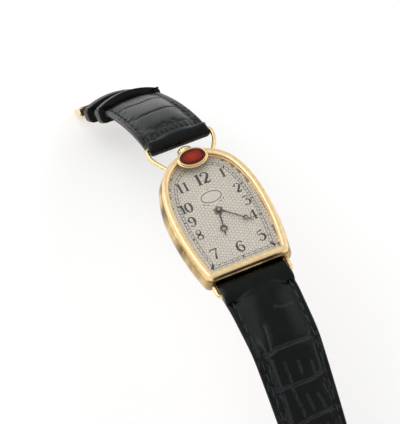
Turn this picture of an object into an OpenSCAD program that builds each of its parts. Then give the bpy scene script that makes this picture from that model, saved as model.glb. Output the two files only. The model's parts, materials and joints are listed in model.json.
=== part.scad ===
// Wristwatch with an arched case, a fixed wire lug at each end and a padded strap.
// Origin: the hands' axis, on the outer face of the case back.
// X points to 3 o'clock, Y to 12 o'clock and Z out of the dial. Millimetres.

/* [Case outline] */
// Width of the case across the bezel
case_w = 23.6; // [22.8:0.1:25]
// From the hands' axis down to the straight foot of the case
case_foot = 16.95; // [16.2:0.05:18.5]
// From the hands' axis down to the widest level of the case
widest_drop = 1.9; // [1:0.1:3]
// Radius of the long side arcs
side_r = 62.5; // [56:0.5:75]
// Angle that each side arc turns above the widest level
side_turn = 3.5; // [3:0.1:4.2]
// Radius of the shoulder arcs
shoulder_r = 28.5; // [27:0.25:30]
// Angle that each shoulder arc turns
shoulder_turn = 17.2; // [15.5:0.1:18.5]
// Corner radius at the foot
corner_r = 1.2; // [0.8:0.05:1.6]

/* [Case thickness] */
// Thickness of the whole case
case_t = 6; // [5.9:0.05:6.6]
// Thickness of the case back
back_t = 0.6; // [0.5:0.05:0.7]
// Height of the bezel above its seam with the band
bezel_h = 1.6; // [1.4:0.05:1.7]
// Width of the bezel's front face
bezel_face = 1.55; // [1.4:0.05:1.8]
// Thickness of the band's wall
band_wall = 1.7; // [1.6:0.05:1.9]
// How far the band bulges past the bezel
band_bulge = 0.35; // [0.1:0.05:0.5]
// Thickness of the crystal at its edge
crystal_t = 0.75; // [0.6:0.05:0.85]
// Rise of the crystal's dome
crystal_dome = 0.3; // [0.2:0.05:0.35]

/* [Dial and hands] */
// Thickness of the dial plate
dial_t = 0.3; // [0.2:0.05:0.35]
// From the bezel's front down to the dial
dial_depth = 1.95; // [1.9:0.05:2.1]
// Length of the minute hand from its axis
minute_l = 8.7; // [8:0.1:9.2]
// Length of the hour hand from its axis
hour_l = 7.3; // [6.4:0.1:7.6]
// Outer radius of the ring on the minute hand
minute_ring_r = 0.62; // [0.5:0.02:0.75]
// Outer radius of the ring on the hour hand
hour_ring_r = 0.85; // [0.7:0.02:1]
// Thickness of a hand
hand_t = 0.14; // [0.1:0.02:0.16]
// Time shown, in minutes past six
minutes_past_six = 22.3; // [0:0.1:59]

/* [Badge and crown] */
// Length of the oval badge along X
badge_l = 7.1; // [6:0.1:8]
// Width of the oval badge along Y
badge_w = 5; // [4:0.1:5.6]
// Height of the badge's mount
badge_t = 0.75; // [0.6:0.05:1]
// Width of the badge's rim
badge_rim = 0.42; // [0.3:0.02:0.6]
// Radius of the crown over its ribs
crown_r = 1.9; // [1.7:0.05:2.05]
// Length of the crown
crown_l = 2.3; // [2:0.05:2.6]
// Number of ribs on the crown
crown_ribs = 24; // [18:2:30]
// How far the crown pulls out to set the hands
crown_pull = 0.8; // [0.5:0.1:1]

// Height of the crown's axis above the case back
stem_z = 2.25; // [2.2:0.01:2.3]

/* [Wire lugs] */
// Diameter of the lug wire
wire_d = 1; // [0.9:0.05:1.1]
// Height of both wire lugs above the case back
wire_z = 2.3; // [2.1:0.05:2.5]
// Centre radius of the wire's bends
wire_bend = 0.85; // [0.75:0.05:1]
// From the arch's top out to the bar of the upper lug
upper_reach = 6.2; // [6:0.1:6.8]
// From the foot out to the bar of the lower lug
lower_reach = 3.3; // [3.1:0.1:3.8]

/* [Strap] */
// Width of the upper strap at its lug
upper_w = 16.1; // [15.4:0.1:16.6]
// Width of the lower strap at its lug
lower_w = 17.2; // [16.6:0.1:17.4]
// Width of both straps at their far ends
end_w = 14; // [13.4:0.1:14.6]
// Length over which each strap tapers
taper_l = 62; // [55:1:66]
// Thickness of the padded strap at its lug
padded_t = 3.7; // [3.5:0.05:4]
// Thickness of the outer leather
outer_t = 1; // [0.8:0.05:1.1]
// Thickness of the lining
lining_t = 0.85; // [0.7:0.05:0.95]
// Thickness of the padding's edge
pad_edge = 0.2; // [0.15:0.05:0.3]
// Width of the sewn margin beside the padding
margin_w = 1.9; // [1.6:0.1:2.2]
// Length of the padding
padding_l = 58; // [50:1:60]
// Number of buckle holes
hole_count = 7; // [5:1:7]
// Distance between buckle holes
hole_pitch = 6; // [5.5:0.25:6.25]
// Diameter of a buckle hole
hole_d = 1.7; // [1.5:0.05:1.9]
// Length of the pointed tip
tip_l = 7; // [6:0.5:8]

/* [Keepers and buckle] */
// Length of a keeper along the strap
keeper_l = 5; // [4:0.25:5.25]
// Thickness of a keeper's leather
keeper_t = 1.1; // [0.9:0.05:1.2]
// Diameter of the buckle's spring bar
bar_d = 1.2; // [1:0.05:1.3]
// Inside length of the buckle frame past its bar
frame_gap = 8.8; // [8.6:0.1:9.6]
// Width of the frame's metal seen from the front
frame_metal = 1.5; // [1.3:0.05:1.8]
// Thickness of the buckle frame
frame_t = 1.5; // [1.4:0.05:1.6]
// Width of the tongue
tongue_w = 1.3; // [1.1:0.05:1.4]
// Thickness of the tongue
tongue_t = 0.7; // [0.6:0.05:0.8]

/* [Movement] */
// Radius of the movement
movement_r = 8.6; // [8.5:0.05:8.8]
// Tooth module of the barrel and of the motion work
tooth_m = 0.1; // [0.095:0.001:0.105]

/* [Hidden] */

// Fits and clearances
run = 0.05;      // running clearance on a radius
seat = 0.05;     // gap between two parallel walls
part_gap = 0.05; // gap between stacked plates
soft_gap = 0.1;  // gap beside a leather part

gold = [0.86, 0.70, 0.42];
brass = [0.80, 0.70, 0.45];
steel = [0.72, 0.72, 0.74];
ruby = [0.80, 0.15, 0.25];
black = [0.07, 0.08, 0.08];

// Case outline: side, shoulder and arch arcs that meet as tangents, repeated at any inset
side_c = [case_w / 2 - side_r, -widest_drop];
shoulder_c = side_c + (side_r - shoulder_r) * [cos(side_turn), sin(side_turn)];
arch_a = side_turn + shoulder_turn;
arch_r = shoulder_r + shoulder_c.x / cos(arch_a);
arch_c = [0, shoulder_c.y + (shoulder_r - arch_r) * sin(arch_a)];
case_top = arch_c.y + arch_r;
least_corner = 0.2;

function corner_radius(i) = max(corner_r - i, least_corner);
function corner_centre(i) =
    let (r = corner_radius(i), y = -case_foot + i + r, reach = side_r - i - r)
    [side_c.x + sqrt(reach * reach - pow(y - side_c.y, 2)), y];
function corner_end(i) =
    let (c = corner_centre(i)) atan2(c.y - side_c.y, c.x - side_c.x);
function arc(c, r, from, to, steps, first = 0) =
    [for (k = [first:steps]) let (a = from + (to - from) * k / steps) c + r * [cos(a), sin(a)]];
function right_half(i) = concat(
    arc(corner_centre(i), corner_radius(i), -90, corner_end(i), 4),
    arc(side_c, side_r - i, corner_end(i), side_turn, 9, 1),
    arc(shoulder_c, shoulder_r - i, side_turn, arch_a, 6, 1),
    arc(arch_c, arch_r - i, arch_a, 90, 14, 1));
function case_outline(i) =
    let (half = right_half(i), n = len(half))
    concat(half, [for (k = [n - 2:-1:0]) [-half[k].x, half[k].y]]);

// Closed solid whose cross-sections are the case outline, one [inset, z] per ring
module outline_loft(rings) {
    n = len(case_outline(0));
    points = [for (ring = rings, p = case_outline(ring[0])) [p.x, p.y, ring[1]]];
    bottom = [for (k = [0:n - 1]) k];
    top = [for (k = [n - 1:-1:0]) (len(rings) - 1) * n + k];
    walls = [for (r = [0:len(rings) - 2], k = [0:n - 1])
        let (a = r * n + k, b = r * n + (k + 1) % n)
        each [[a, a + n, b + n], [a, b + n, b]]];
    polyhedron(points, concat([bottom], [top], walls));
}

// Closed ring whose section is a loop of [inset, z] that follows the case outline
module outline_ring(section) {
    n = len(case_outline(0));
    m = len(section);
    points = [for (q = section, p = case_outline(q[0])) [p.x, p.y, q[1]]];
    walls = [for (r = [0:m - 1], k = [0:n - 1])
        let (s = (r + 1) % m, a = r * n + k, b = r * n + (k + 1) % n, c = s * n + k, d = s * n + (k + 1) % n)
        each [[a, c, d], [a, d, b]]];
    polyhedron(points, walls);
}

// Case heights
bezel_z = case_t - bezel_h;
dial_z = case_t - dial_depth;
dial_seat = 1.2;
ring_outer = dial_seat + seat;
ring_inner = bezel_face + 0.05;
crystal_z = case_t - 0.35 - crystal_t;
ring_top = crystal_z - part_gap;
movement_z = dial_z - dial_t - part_gap;

module bezel() {
    color(gold)
    outline_ring([
        [0.04, bezel_z], [0, bezel_z + 0.1], [0, case_t - 0.75], [0.12, case_t - 0.4],
        [0.35, case_t - 0.12], [0.65, case_t], [1.1, case_t], [1.38, case_t - 0.08],
        [bezel_face, case_t - 0.22], [bezel_face, crystal_z + crystal_t + 0.02],
        [dial_seat, crystal_z + crystal_t + 0.02], [dial_seat, bezel_z]]);
}

module crystal() {
    color([0.9, 0.95, 1, 0.3])
    outline_loft([
        [ring_outer, crystal_z], [ring_outer, crystal_z + crystal_t],
        [bezel_face + seat, crystal_z + crystal_t],
        [bezel_face + 0.2, crystal_z + crystal_t + 0.3 * crystal_dome],
        [bezel_face + 1, crystal_z + crystal_t + 0.62 * crystal_dome],
        [bezel_face + 2.4, crystal_z + crystal_t + 0.86 * crystal_dome],
        [bezel_face + 4.4, crystal_z + crystal_t + 0.97 * crystal_dome],
        [bezel_face + 6.2, crystal_z + crystal_t + crystal_dome]]);
}

module dial_ring() {
    color(gold)
    outline_ring([
        [ring_outer, dial_z + 0.02], [ring_outer, ring_top], [ring_inner - 0.1, ring_top],
        [ring_inner, ring_top - 0.1], [ring_inner, dial_z + 0.02]]);
}

// Band with its bulged outside, the seats for dial and bezel, and holes for tube and lug wires
module mid_case() {
    color(gold)
    difference() {
        outline_ring([
            [0.12, back_t], [-0.6 * band_bulge, back_t + 0.35], [-band_bulge, back_t + 1.2],
            [-band_bulge, bezel_z - 1.2], [-0.6 * band_bulge, bezel_z - 0.35], [0.04, bezel_z],
            [dial_seat - seat, bezel_z], [dial_seat - seat, dial_z - dial_t],
            [band_wall, dial_z - dial_t], [band_wall, back_t]]);
        translate([0, case_top - band_wall - 1, stem_z]) rotate([-90, 0, 0])
            cylinder(r = tube_r + seat / 2, h = band_wall + band_bulge + 2, $fn = 48);
        for (side = [-1, 1]) {
            upper_leg(side, seat / 2);
            lower_leg(side, seat / 2);
        }
    }
}

snap_inset = band_wall + seat;
module case_back() {
    color(gold) {
        outline_loft([[0.75, 0], [0.45, 0.08], [0.28, 0.25], [0.28, back_t]]);
        outline_ring([
            [snap_inset, back_t], [snap_inset, back_t + 0.32],
            [snap_inset + 0.5, back_t + 0.32], [snap_inset + 0.5, back_t]]);
    }
}

gasket_t = 0.3;
module back_gasket() {
    color(black)
    outline_ring([
        [snap_inset + 0.52, back_t], [snap_inset + 0.52, back_t + gasket_t],
        [snap_inset + 0.85, back_t + gasket_t], [snap_inset + 0.85, back_t]]);
}

dial_hole_r = 0.75;
module dial() {
    color([0.72, 0.70, 0.66])
    difference() {
        translate([0, 0, dial_z - dial_t])
            linear_extrude(dial_t) polygon(case_outline(dial_seat));
        translate([0, 0, dial_z - dial_t - 1]) cylinder(r = dial_hole_r, h = dial_t + 2, $fn = 64);
    }
}

// Badge on the arch of the bezel
badge_y = case_top - badge_w / 2 + 0.15;
badge_floor = 0.35;
module oval(l, w, h) {
    linear_extrude(h)
        polygon([for (k = [0:71]) [l / 2 * cos(5 * k), w / 2 * sin(5 * k)]]);
}
module badge_mount() {
    color(gold)
    translate([0, badge_y, case_t])
    difference() {
        oval(badge_l, badge_w, badge_t);
        translate([0, 0, badge_floor])
            oval(badge_l - 2 * badge_rim, badge_w - 2 * badge_rim, badge_t);
    }
}
module badge_enamel() {
    color([0.75, 0.10, 0.12])
    translate([0, badge_y, case_t + badge_floor])
        oval(badge_l - 2 * badge_rim - 0.02, badge_w - 2 * badge_rim - 0.02, badge_t - badge_floor - 0.05);
}

// Wire lugs: bars, bends and legs of one round wire
wire_r = wire_d / 2;
upper_bar_y = case_top + upper_reach;
lower_bar_y = -case_foot - lower_reach;
upper_leg_x = upper_w / 2 + soft_gap + wire_r;
lower_leg_x = lower_w / 2 + soft_gap + wire_r;
bow_y = case_top + 2.6;
bow_foot = [4.9, case_top - 2.4];
bow_a = atan2(bow_y - bow_foot.y, upper_leg_x - bow_foot.x);

wire_lap = 0.03; // how far a straight piece runs into the bend beside it
module wire(length, grow = 0) {
    translate([0, 0, -wire_lap]) cylinder(r = wire_r + grow, h = length + 2 * wire_lap, $fn = 40);
}
module bend(turn) {
    rotate_extrude(angle = turn, $fn = 96) translate([wire_bend, 0]) circle(r = wire_r - 0.004, $fn = 40);
}
module upper_leg(side, grow = 0) {
    start = bow_foot;
    run_l = norm([upper_leg_x, bow_y] - start) - wire_bend * tan((90 - bow_a) / 2);
    mirror([side < 0 ? 1 : 0, 0, 0])
    translate([start.x, start.y, wire_z]) rotate([0, 0, bow_a]) rotate([0, 90, 0]) wire(run_l, grow);
}
module lower_leg(side, grow = 0) {
    top = -case_foot + 1.25;
    translate([side * lower_leg_x, lower_bar_y + wire_bend, wire_z]) rotate([-90, 0, 0])
        wire(top - lower_bar_y - wire_bend, grow);
}
module upper_wire_lug() {
    turn = 90 - bow_a;
    tangent = wire_bend * tan(turn / 2);
    straight_from = bow_y + tangent;
    straight_to = upper_bar_y - wire_bend;
    color(gold) {
        for (side = [-1, 1]) {
            upper_leg(side);
            mirror([side < 0 ? 1 : 0, 0, 0]) {
                translate([upper_leg_x - wire_bend, straight_from, wire_z])
                    rotate([0, 0, -turn]) bend(turn);
                translate([upper_leg_x, straight_from, wire_z]) rotate([-90, 0, 0])
                    wire(straight_to - straight_from);
                translate([upper_leg_x - wire_bend, straight_to, wire_z]) bend(90);
            }
        }
        translate([-upper_leg_x + wire_bend, upper_bar_y, wire_z]) rotate([0, 90, 0])
            wire(2 * (upper_leg_x - wire_bend));
    }
}
module lower_wire_lug() {
    color(gold) {
        for (side = [-1, 1]) {
            lower_leg(side);
            mirror([side < 0 ? 1 : 0, 0, 0])
                translate([lower_leg_x - wire_bend, lower_bar_y + wire_bend, wire_z])
                    rotate([0, 0, -90]) bend(90);
        }
        translate([-lower_leg_x + wire_bend, lower_bar_y, wire_z]) rotate([0, 90, 0])
            wire(2 * (lower_leg_x - wire_bend));
    }
}

// Crown, its tube and the winding stem, all on one axis along Y
stem_r = 0.45;
tube_r = 0.85;
tube_out = case_top + band_bulge + 0.75;
crown_y = case_top + band_bulge + 0.12;
recess_r = 1.3;
recess_l = 0.95;
module along_y(y) {
    translate([0, y, stem_z]) rotate([-90, 0, 0]) children();
}
module crown_tube() {
    color(gold)
    along_y(case_top - band_wall - 0.2)
    difference() {
        cylinder(r = tube_r, h = tube_out - case_top + band_wall + 0.2, $fn = 48);
        translate([0, 0, -1]) cylinder(r = stem_r + run, h = 6, $fn = 48);
    }
}
module crown_gasket() {
    color(black)
    along_y(crown_y + 0.15)
    difference() {
        cylinder(r = recess_r - 0.03, h = 0.35, $fn = 48);
        translate([0, 0, -1]) cylinder(r = tube_r + 0.03, h = 3, $fn = 48);
    }
}
module crown() {
    rib = 180 / crown_ribs;
    color(gold)
    along_y(crown_y)
    difference() {
        union() {
            linear_extrude(crown_l * 0.62)
                polygon([for (k = [0:crown_ribs - 1], e = [[-0.55, 0.9], [-0.25, 1], [0.25, 1], [0.55, 0.9]])
                    let (a = (2 * k + e[0]) * rib) crown_r * e[1] * [cos(a), sin(a)]]);
            translate([0, 0, crown_l * 0.62])
                rotate_extrude($fn = 72)
                polygon(concat([[0, 0]], [for (k = [0:8]) let (a = 11.25 * k)
                    [crown_r * 0.9 * cos(a), crown_l * 0.38 * sin(a)]]));
        }
        translate([0, 0, -1]) cylinder(r = recess_r, h = recess_l + 1, $fn = 48);
    }
}
pinion_y = 6.1;
pinion_t = 0.8;
stem_inner = 4.5;
module winding_stem() {
    color(steel) {
        along_y(stem_inner) cylinder(r = stem_r, h = crown_y + recess_l - stem_inner, $fn = 40);
        along_y(pinion_y) linear_extrude(pinion_t) gear(pinion_teeth, pinion_r, 0);
    }
}

// Gears: straight-sided teeth, a tooth centred on the given direction
module gear(teeth, pitch_r, direction) {
    m = 2 * pitch_r / teeth;
    step = 360 / teeth;
    polygon([for (k = [0:teeth - 1], e = [[-0.24, -1.15], [-0.1, 0.85], [0.1, 0.85], [0.24, -1.15]])
        let (a = direction + (k + e[0]) * step) (pitch_r + e[1] * m) * [cos(a), sin(a)]]);
}
// Flat spoked wheel, centred on its own arbor
arm_w = 0.28;
module spoked(teeth, pitch_r, direction, arms, hub_r, thickness) {
    rim = pitch_r - 3.2 * pitch_r / teeth - 0.18;
    linear_extrude(thickness)
    difference() {
        gear(teeth, pitch_r, direction);
        difference() {
            circle(r = rim, $fn = 72);
            circle(r = hub_r, $fn = 36);
            for (k = [0:arms - 1])
                rotate([0, 0, direction + (k + 0.5) * 360 / arms])
                    translate([0, -arm_w / 2]) square([rim + 0.1, arm_w]);
        }
    }
}
module at(place, z) {
    translate([place.x, place.y, z]) children();
}

// Levels of the movement, from the back upwards
ratchet_z = back_t + 0.08;
ratchet_t = 0.18;
pinion_top_r = stem_z - ratchet_z - ratchet_t - 0.02;
pinion_teeth = 25;
pinion_r = pinion_top_r / (1 + 1.7 / pinion_teeth);
bridge_z = ratchet_z + ratchet_t + part_gap;
bridge_t = 0.33;
level_a = bridge_z + bridge_t + part_gap;
wheel_t = 0.13;
level_b = level_a + wheel_t + 0.08;
level_c = level_b + 0.24;
level_d = level_c + wheel_t + 0.08;
plate_z = 2.34;
plate_t = movement_z - 0.5 - plate_z;
plate_top = plate_z + plate_t;
motion_low = plate_top + part_gap;
motion_high = motion_low + 0.2;

// Places of the arbors: each one is a wheel's and a pinion's pitch radius away from the last
function polar(r, a) = r * [cos(a), sin(a)];
barrel_teeth = 66;
barrel_r = barrel_teeth * tooth_m / 2;
centre_pinion_teeth = 11;
centre_pinion_r = centre_pinion_teeth * tooth_m / 2;
barrel_dir = 20;
barrel_at = polar(barrel_r + centre_pinion_r, barrel_dir);
centre_r = 2.72;
third_pinion_r = 0.34;
third_dir = 230;
third_at = polar(centre_r + third_pinion_r, third_dir);
third_r = 2.25;
fourth_pinion_r = 0.3;
fourth_dir = 150;
fourth_at = third_at + polar(third_r + fourth_pinion_r, fourth_dir);
fourth_r = 2.1;
escape_pinion_r = 0.21;
escape_dir = 75;
escape_at = fourth_at + polar(fourth_r + escape_pinion_r, escape_dir);
escape_r = 1.25;
pallet_dir = 100;
pallet_at = escape_at + polar(1.75, pallet_dir);
balance_dir = 78;
balance_at = pallet_at + polar(2.55, balance_dir);
balance_r = 1.9;
crown_wheel_r = 1.65;
crown_wheel_at = [0, pinion_y + pinion_t / 2 - crown_wheel_r];
ratchet_r = norm(barrel_at - crown_wheel_at) - crown_wheel_r;
ratchet_dir = atan2(crown_wheel_at.y - barrel_at.y, crown_wheel_at.x - barrel_at.x);
minute_wheel_dir = -60;
cannon_teeth = 10;
minute_teeth = 30;
motion_m = tooth_m * 1.1;
cannon_r = cannon_teeth * motion_m / 2;
minute_wheel_r = minute_teeth * motion_m / 2;
minute_wheel_at = polar(cannon_r + minute_wheel_r, minute_wheel_dir);
hour_teeth = 32;
hour_pinion_teeth = 8;
pivot_r = 0.09;
arbor_r = 0.14;
centre_arbor_r = 0.18;
cannon_tube_r = 0.34;
jewel_r = 0.36;
pillar_r = 0.6;
pillars = [[5.9, -4.95], [-0.66, -7.5], [-7.45, -1.9], [2.35, 7.2]];
cock_foot = [-6.9, 3.3];
pillar_h = plate_z - bridge_z - bridge_t;
screw_r = 0.3;
hour_tube_r = 0.52;

module pivot_holes(z, h, places) {
    for (p = places) at(p, z) cylinder(r = jewel_r + seat / 2, h = h, $fn = 36);
}
jewelled = [third_at, fourth_at, escape_at, pallet_at, balance_at];

module link(p, q, w) {
    d = q - p;
    translate([p.x, p.y]) rotate([0, 0, atan2(d.y, d.x)]) translate([0, -w / 2]) square([norm(d), w]);
}

module mainplate() {
    color(brass)
    difference() {
        at([0, 0], plate_z) cylinder(r = movement_r, h = plate_t, $fn = 120);
        at([0, 0], plate_z - 1) cylinder(r = centre_arbor_r + run, h = 4, $fn = 36);
        at(barrel_at, plate_z - 1) cylinder(r = barrel_r + 0.1, h = 1 + plate_t - 0.25, $fn = 96);
        at(barrel_at, plate_z - 1) cylinder(r = 0.3 + run, h = 4, $fn = 36);
        pivot_holes(plate_z - 1, 4, jewelled);
        translate([-stem_r - 0.15, stem_inner - 0.3, plate_z - 1])
            cube([2 * stem_r + 0.3, movement_r, 1 + stem_z + stem_r + 0.1 - plate_z]);
        translate([-pinion_top_r - 0.1, pinion_y - 0.1, plate_z - 1])
            cube([2 * pinion_top_r + 0.2, pinion_t + 0.2 + crown_pull, 5]);
        for (p = concat(pillars, [cock_foot]))
            at(p, plate_z - 1) cylinder(r = screw_r + 0.03, h = 1.6, $fn = 32);
    }
    color(brass)
    at(minute_wheel_at, plate_top - 0.1) cylinder(r = 0.15, h = motion_high + 0.2 - plate_top, $fn = 24);
}

// Plan of the balance cock, and the same grown for the space it needs in the bridge
module cock_plan(grow = 0) {
    translate(balance_at) circle(r = 0.85 + grow, $fn = 48);
    translate(cock_foot) circle(r = 0.85 + grow, $fn = 48);
    link(cock_foot, balance_at, 1.5 + 2 * grow);
}
bridge_clear = 1.9;
module train_bridge() {
    color(brass)
    difference() {
        union() {
            difference() {
                at([0, 0], bridge_z) cylinder(r = movement_r - 0.1, h = bridge_t, $fn = 120);
                at(balance_at, bridge_z - 1) {
                    cylinder(r = bridge_clear, h = 3, $fn = 72);
                    rotate([0, 0, atan2(balance_at.y, balance_at.x)])
                        translate([0, -bridge_clear, 0])
                        cube([4, bridge_clear + norm(cock_foot - balance_at) + 1.1, 3]);
                }
                at([0, 0], bridge_z - 1) linear_extrude(3) cock_plan(0.12);
            }
            for (p = pillars)
                at(p, bridge_z + bridge_t / 2) cylinder(r = pillar_r, h = pillar_h + bridge_t / 2, $fn = 36);
        }
        at([0, 0], bridge_z - 1) cylinder(r = pivot_r + run, h = 3, $fn = 24);
        at(barrel_at, bridge_z - 1) cylinder(r = 0.45 + run, h = 3, $fn = 36);
        at(crown_wheel_at, bridge_z - 1) cylinder(r = 0.3 + run, h = 3, $fn = 36);
        pivot_holes(bridge_z - 1, 3, [third_at, fourth_at, escape_at, pallet_at]);
        translate([-pinion_top_r - 0.1, pinion_y - 0.1, bridge_z - 1])
            cube([2 * pinion_top_r + 0.2, pinion_t + 0.2 + crown_pull, 3]);
        for (p = pillars) at(p, bridge_z - 1) cylinder(r = screw_r + 0.03, h = 5, $fn = 32);
    }
}

module balance_cock() {
    color(brass)
    difference() {
        union() {
            at([0, 0], bridge_z) linear_extrude(bridge_t) cock_plan();
            at(cock_foot, bridge_z + bridge_t / 2)
                cylinder(r = pillar_r, h = pillar_h + bridge_t / 2, $fn = 36);
        }
        pivot_holes(bridge_z - 1, 3, [balance_at]);
        at(cock_foot, bridge_z - 1) cylinder(r = screw_r + 0.03, h = 5, $fn = 32);
    }
}

module ring_stone(z, h) {
    translate([0, 0, z]) difference() {
        cylinder(r = jewel_r, h = h, $fn = 36);
        translate([0, 0, -1]) cylinder(r = pivot_r + run, h = h + 2, $fn = 24);
    }
}
module jewels() {
    color(ruby) {
        for (p = jewelled) at(p, 0) ring_stone(bridge_z, bridge_t);
        for (p = jewelled) at(p, 0) ring_stone(plate_z, 0.4);
    }
}
module bridge_screws() {
    color(steel)
    for (p = concat(pillars, [cock_foot])) at(p, bridge_z + 0.02) {
        cylinder(r = screw_r, h = plate_z + 0.5 - bridge_z, $fn = 32);
    }
}
module movement_ring() {
    color(brass)
    difference() {
        at([0, 0], back_t + 0.4) linear_extrude(dial_z - dial_t - back_t - 0.4 - 0.02)
            polygon(case_outline(band_wall + seat));
        at([0, 0], 0) cylinder(r = movement_r + seat, h = case_t, $fn = 120);
        translate([-tube_r - 0.1, movement_r - 1, stem_z - tube_r - 0.1])
            cube([2 * tube_r + 0.2, case_top, 2 * tube_r + 0.2]);
    }
}

// Going train
module barrel() {
    color(brass)
    at(barrel_at, 0)
    difference() {
        union() {
            translate([0, 0, level_b]) linear_extrude(0.2) gear(barrel_teeth, barrel_r, barrel_dir + 180);
            translate([0, 0, level_b])
                cylinder(r = barrel_r - 0.2, h = plate_z + plate_t - 0.4 - level_b, $fn = 96);
        }
        translate([0, 0, level_b + 0.25])
            cylinder(r = barrel_r - 0.45, h = plate_z + plate_t - 0.9 - level_b, $fn = 96);
        translate([0, 0, level_b - 1]) cylinder(r = 0.45 + run, h = 4, $fn = 36);
    }
}
spring_turns = 5;
spring_t = 0.07;
function spiral(r0, r1, turns, steps) =
    [for (k = [0:steps]) let (a = 360 * turns * k / steps) (r0 + (r1 - r0) * k / steps) * [cos(a), sin(a)]];
module spiral_strip(r0, r1, turns, t, steps) {
    inner = spiral(r0 - t / 2, r1 - t / 2, turns, steps);
    outer = spiral(r0 + t / 2, r1 + t / 2, turns, steps);
    polygon(concat(outer, [for (k = [steps:-1:0]) inner[k]]));
}
module mainspring() {
    color(steel)
    at(barrel_at, level_b + 0.3)
    linear_extrude(plate_z + plate_t - 1 - level_b)
        spiral_strip(0.62, barrel_r - 0.6, spring_turns, spring_t, 120);
}
module ratchet_wheel() {
    color(steel)
    at(barrel_at, 0) {
        translate([0, 0, ratchet_z]) linear_extrude(ratchet_t) gear(68, ratchet_r, ratchet_dir);
        translate([0, 0, ratchet_z]) cylinder(r = 0.45, h = level_b + 0.6 - ratchet_z, $fn = 36);
        translate([0, 0, level_b + 0.5]) cylinder(r = 0.3, h = plate_top - level_b - 0.6, $fn = 36);
    }
}
module crown_wheel() {
    color(steel)
    at(crown_wheel_at, 0) {
        translate([0, 0, ratchet_z]) linear_extrude(ratchet_t)
            gear(33, crown_wheel_r, ratchet_dir + 180 + 180 / 33);
        translate([0, 0, ratchet_z]) cylinder(r = 0.3, h = bridge_z + bridge_t - ratchet_z, $fn = 36);
    }
}
module arbor(bottom, top) {
    translate([0, 0, bottom]) cylinder(r = pivot_r, h = top - bottom, $fn = 24);
    translate([0, 0, level_a]) cylinder(r = arbor_r, h = plate_z - part_gap - level_a, $fn = 24);
}
module centre_wheel() {
    color(brass) {
        translate([0, 0, level_a]) spoked(64, centre_r, third_dir, 5, 0.6, wheel_t);
        translate([0, 0, level_b]) linear_extrude(0.2)
            gear(centre_pinion_teeth, centre_pinion_r, barrel_dir + 180 / centre_pinion_teeth);
        translate([0, 0, bridge_z + 0.02]) cylinder(r = pivot_r, h = 1, $fn = 24);
        translate([0, 0, level_a]) cylinder(r = centre_arbor_r, h = minute_z - 0.1 - level_a, $fn = 36);
    }
}
module third_wheel() {
    color(brass)
    at(third_at, 0) {
        arbor(bridge_z + 0.02, plate_z + 0.38);
        translate([0, 0, level_a]) linear_extrude(wheel_t) gear(8, third_pinion_r, third_dir + 180 + 22.5);
        translate([0, 0, level_c]) spoked(60, third_r, fourth_dir, 4, 0.4, wheel_t);
    }
}
module fourth_wheel() {
    color(brass)
    at(fourth_at, 0) {
        arbor(bridge_z + 0.02, plate_z + 0.38);
        translate([0, 0, level_c]) linear_extrude(wheel_t) gear(8, fourth_pinion_r, fourth_dir + 180 + 22.5);
        translate([0, 0, level_d]) spoked(70, fourth_r, escape_dir, 4, 0.4, wheel_t);
    }
}
module escape_wheel() {
    teeth = 15;
    color(steel)
    at(escape_at, 0) {
        arbor(bridge_z + 0.02, plate_z + 0.38);
        translate([0, 0, level_d]) linear_extrude(wheel_t)
            gear(7, escape_pinion_r, escape_dir + 180 + 180 / 7);
        translate([0, 0, level_c]) linear_extrude(wheel_t)
        difference() {
            polygon([for (k = [0:teeth - 1], e = [[0, 0.78], [0.3, 0.8], [0.62, 1], [0.72, 1], [0.8, 0.78]])
                polar(escape_r * e[1], (k + e[0]) * 360 / teeth)]);
            difference() {
                circle(r = escape_r * 0.62, $fn = 48);
                circle(r = 0.3, $fn = 24);
                for (k = [0:3]) rotate([0, 0, 90 * k]) translate([0, -0.08]) square([escape_r * 0.7, 0.16]);
            }
        }
    }
}
// Fork with a pallet at each end of its arms, just outside the escape wheel's teeth
fork_t = 0.12;
module pallet_fork() {
    tail = polar(1.35, balance_dir);
    arm_end = polar(0.75, pallet_dir + 90);
    stone = polar(-0.45, pallet_dir);
    color(steel)
    at(pallet_at, 0) {
        arbor(bridge_z + 0.02, plate_z + 0.38);
        translate([0, 0, level_c]) linear_extrude(fork_t) {
            circle(r = 0.26, $fn = 24);
            link(polar(0, 0), tail, 0.16);
            link(-arm_end, arm_end, 0.16);
            link(arm_end * 0.9, arm_end * 0.9 + stone, 0.15);
            link(-arm_end * 0.9, -arm_end * 0.9 + stone, 0.15);
            translate(tail) rotate([0, 0, balance_dir]) difference() {
                translate([-0.05, -0.2]) square([0.35, 0.4]);
                translate([0.1, -0.09]) square([0.4, 0.18]);
            }
        }
    }
}
module balance_wheel() {
    color(brass)
    at(balance_at, 0) {
        translate([0, 0, bridge_z + 0.02])
            cylinder(r = pivot_r, h = plate_z + 0.38 - bridge_z - 0.02, $fn = 24);
        translate([0, 0, level_a + 0.05]) cylinder(r = 0.2, h = plate_z - 0.1 - level_a, $fn = 24);
        translate([0, 0, level_c]) cylinder(r = 0.5, h = fork_t, $fn = 36);
        translate([0, 0, level_d]) {
            difference() {
                cylinder(r = balance_r, h = 0.26, $fn = 96);
                translate([0, 0, -1]) cylinder(r = balance_r - 0.3, h = 3, $fn = 96);
            }
            translate([0, 0, 0.06]) linear_extrude(0.14)
                for (k = [0:1])
                    rotate([0, 0, 45 + 90 * k]) square([2 * balance_r - 0.3, 0.22], center = true);
        }
    }
}
module hairspring() {
    color(steel)
    at(balance_at, level_a + 0.1) linear_extrude(0.1) spiral_strip(0.3, 1.3, 6, 0.04, 144);
}

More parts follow.
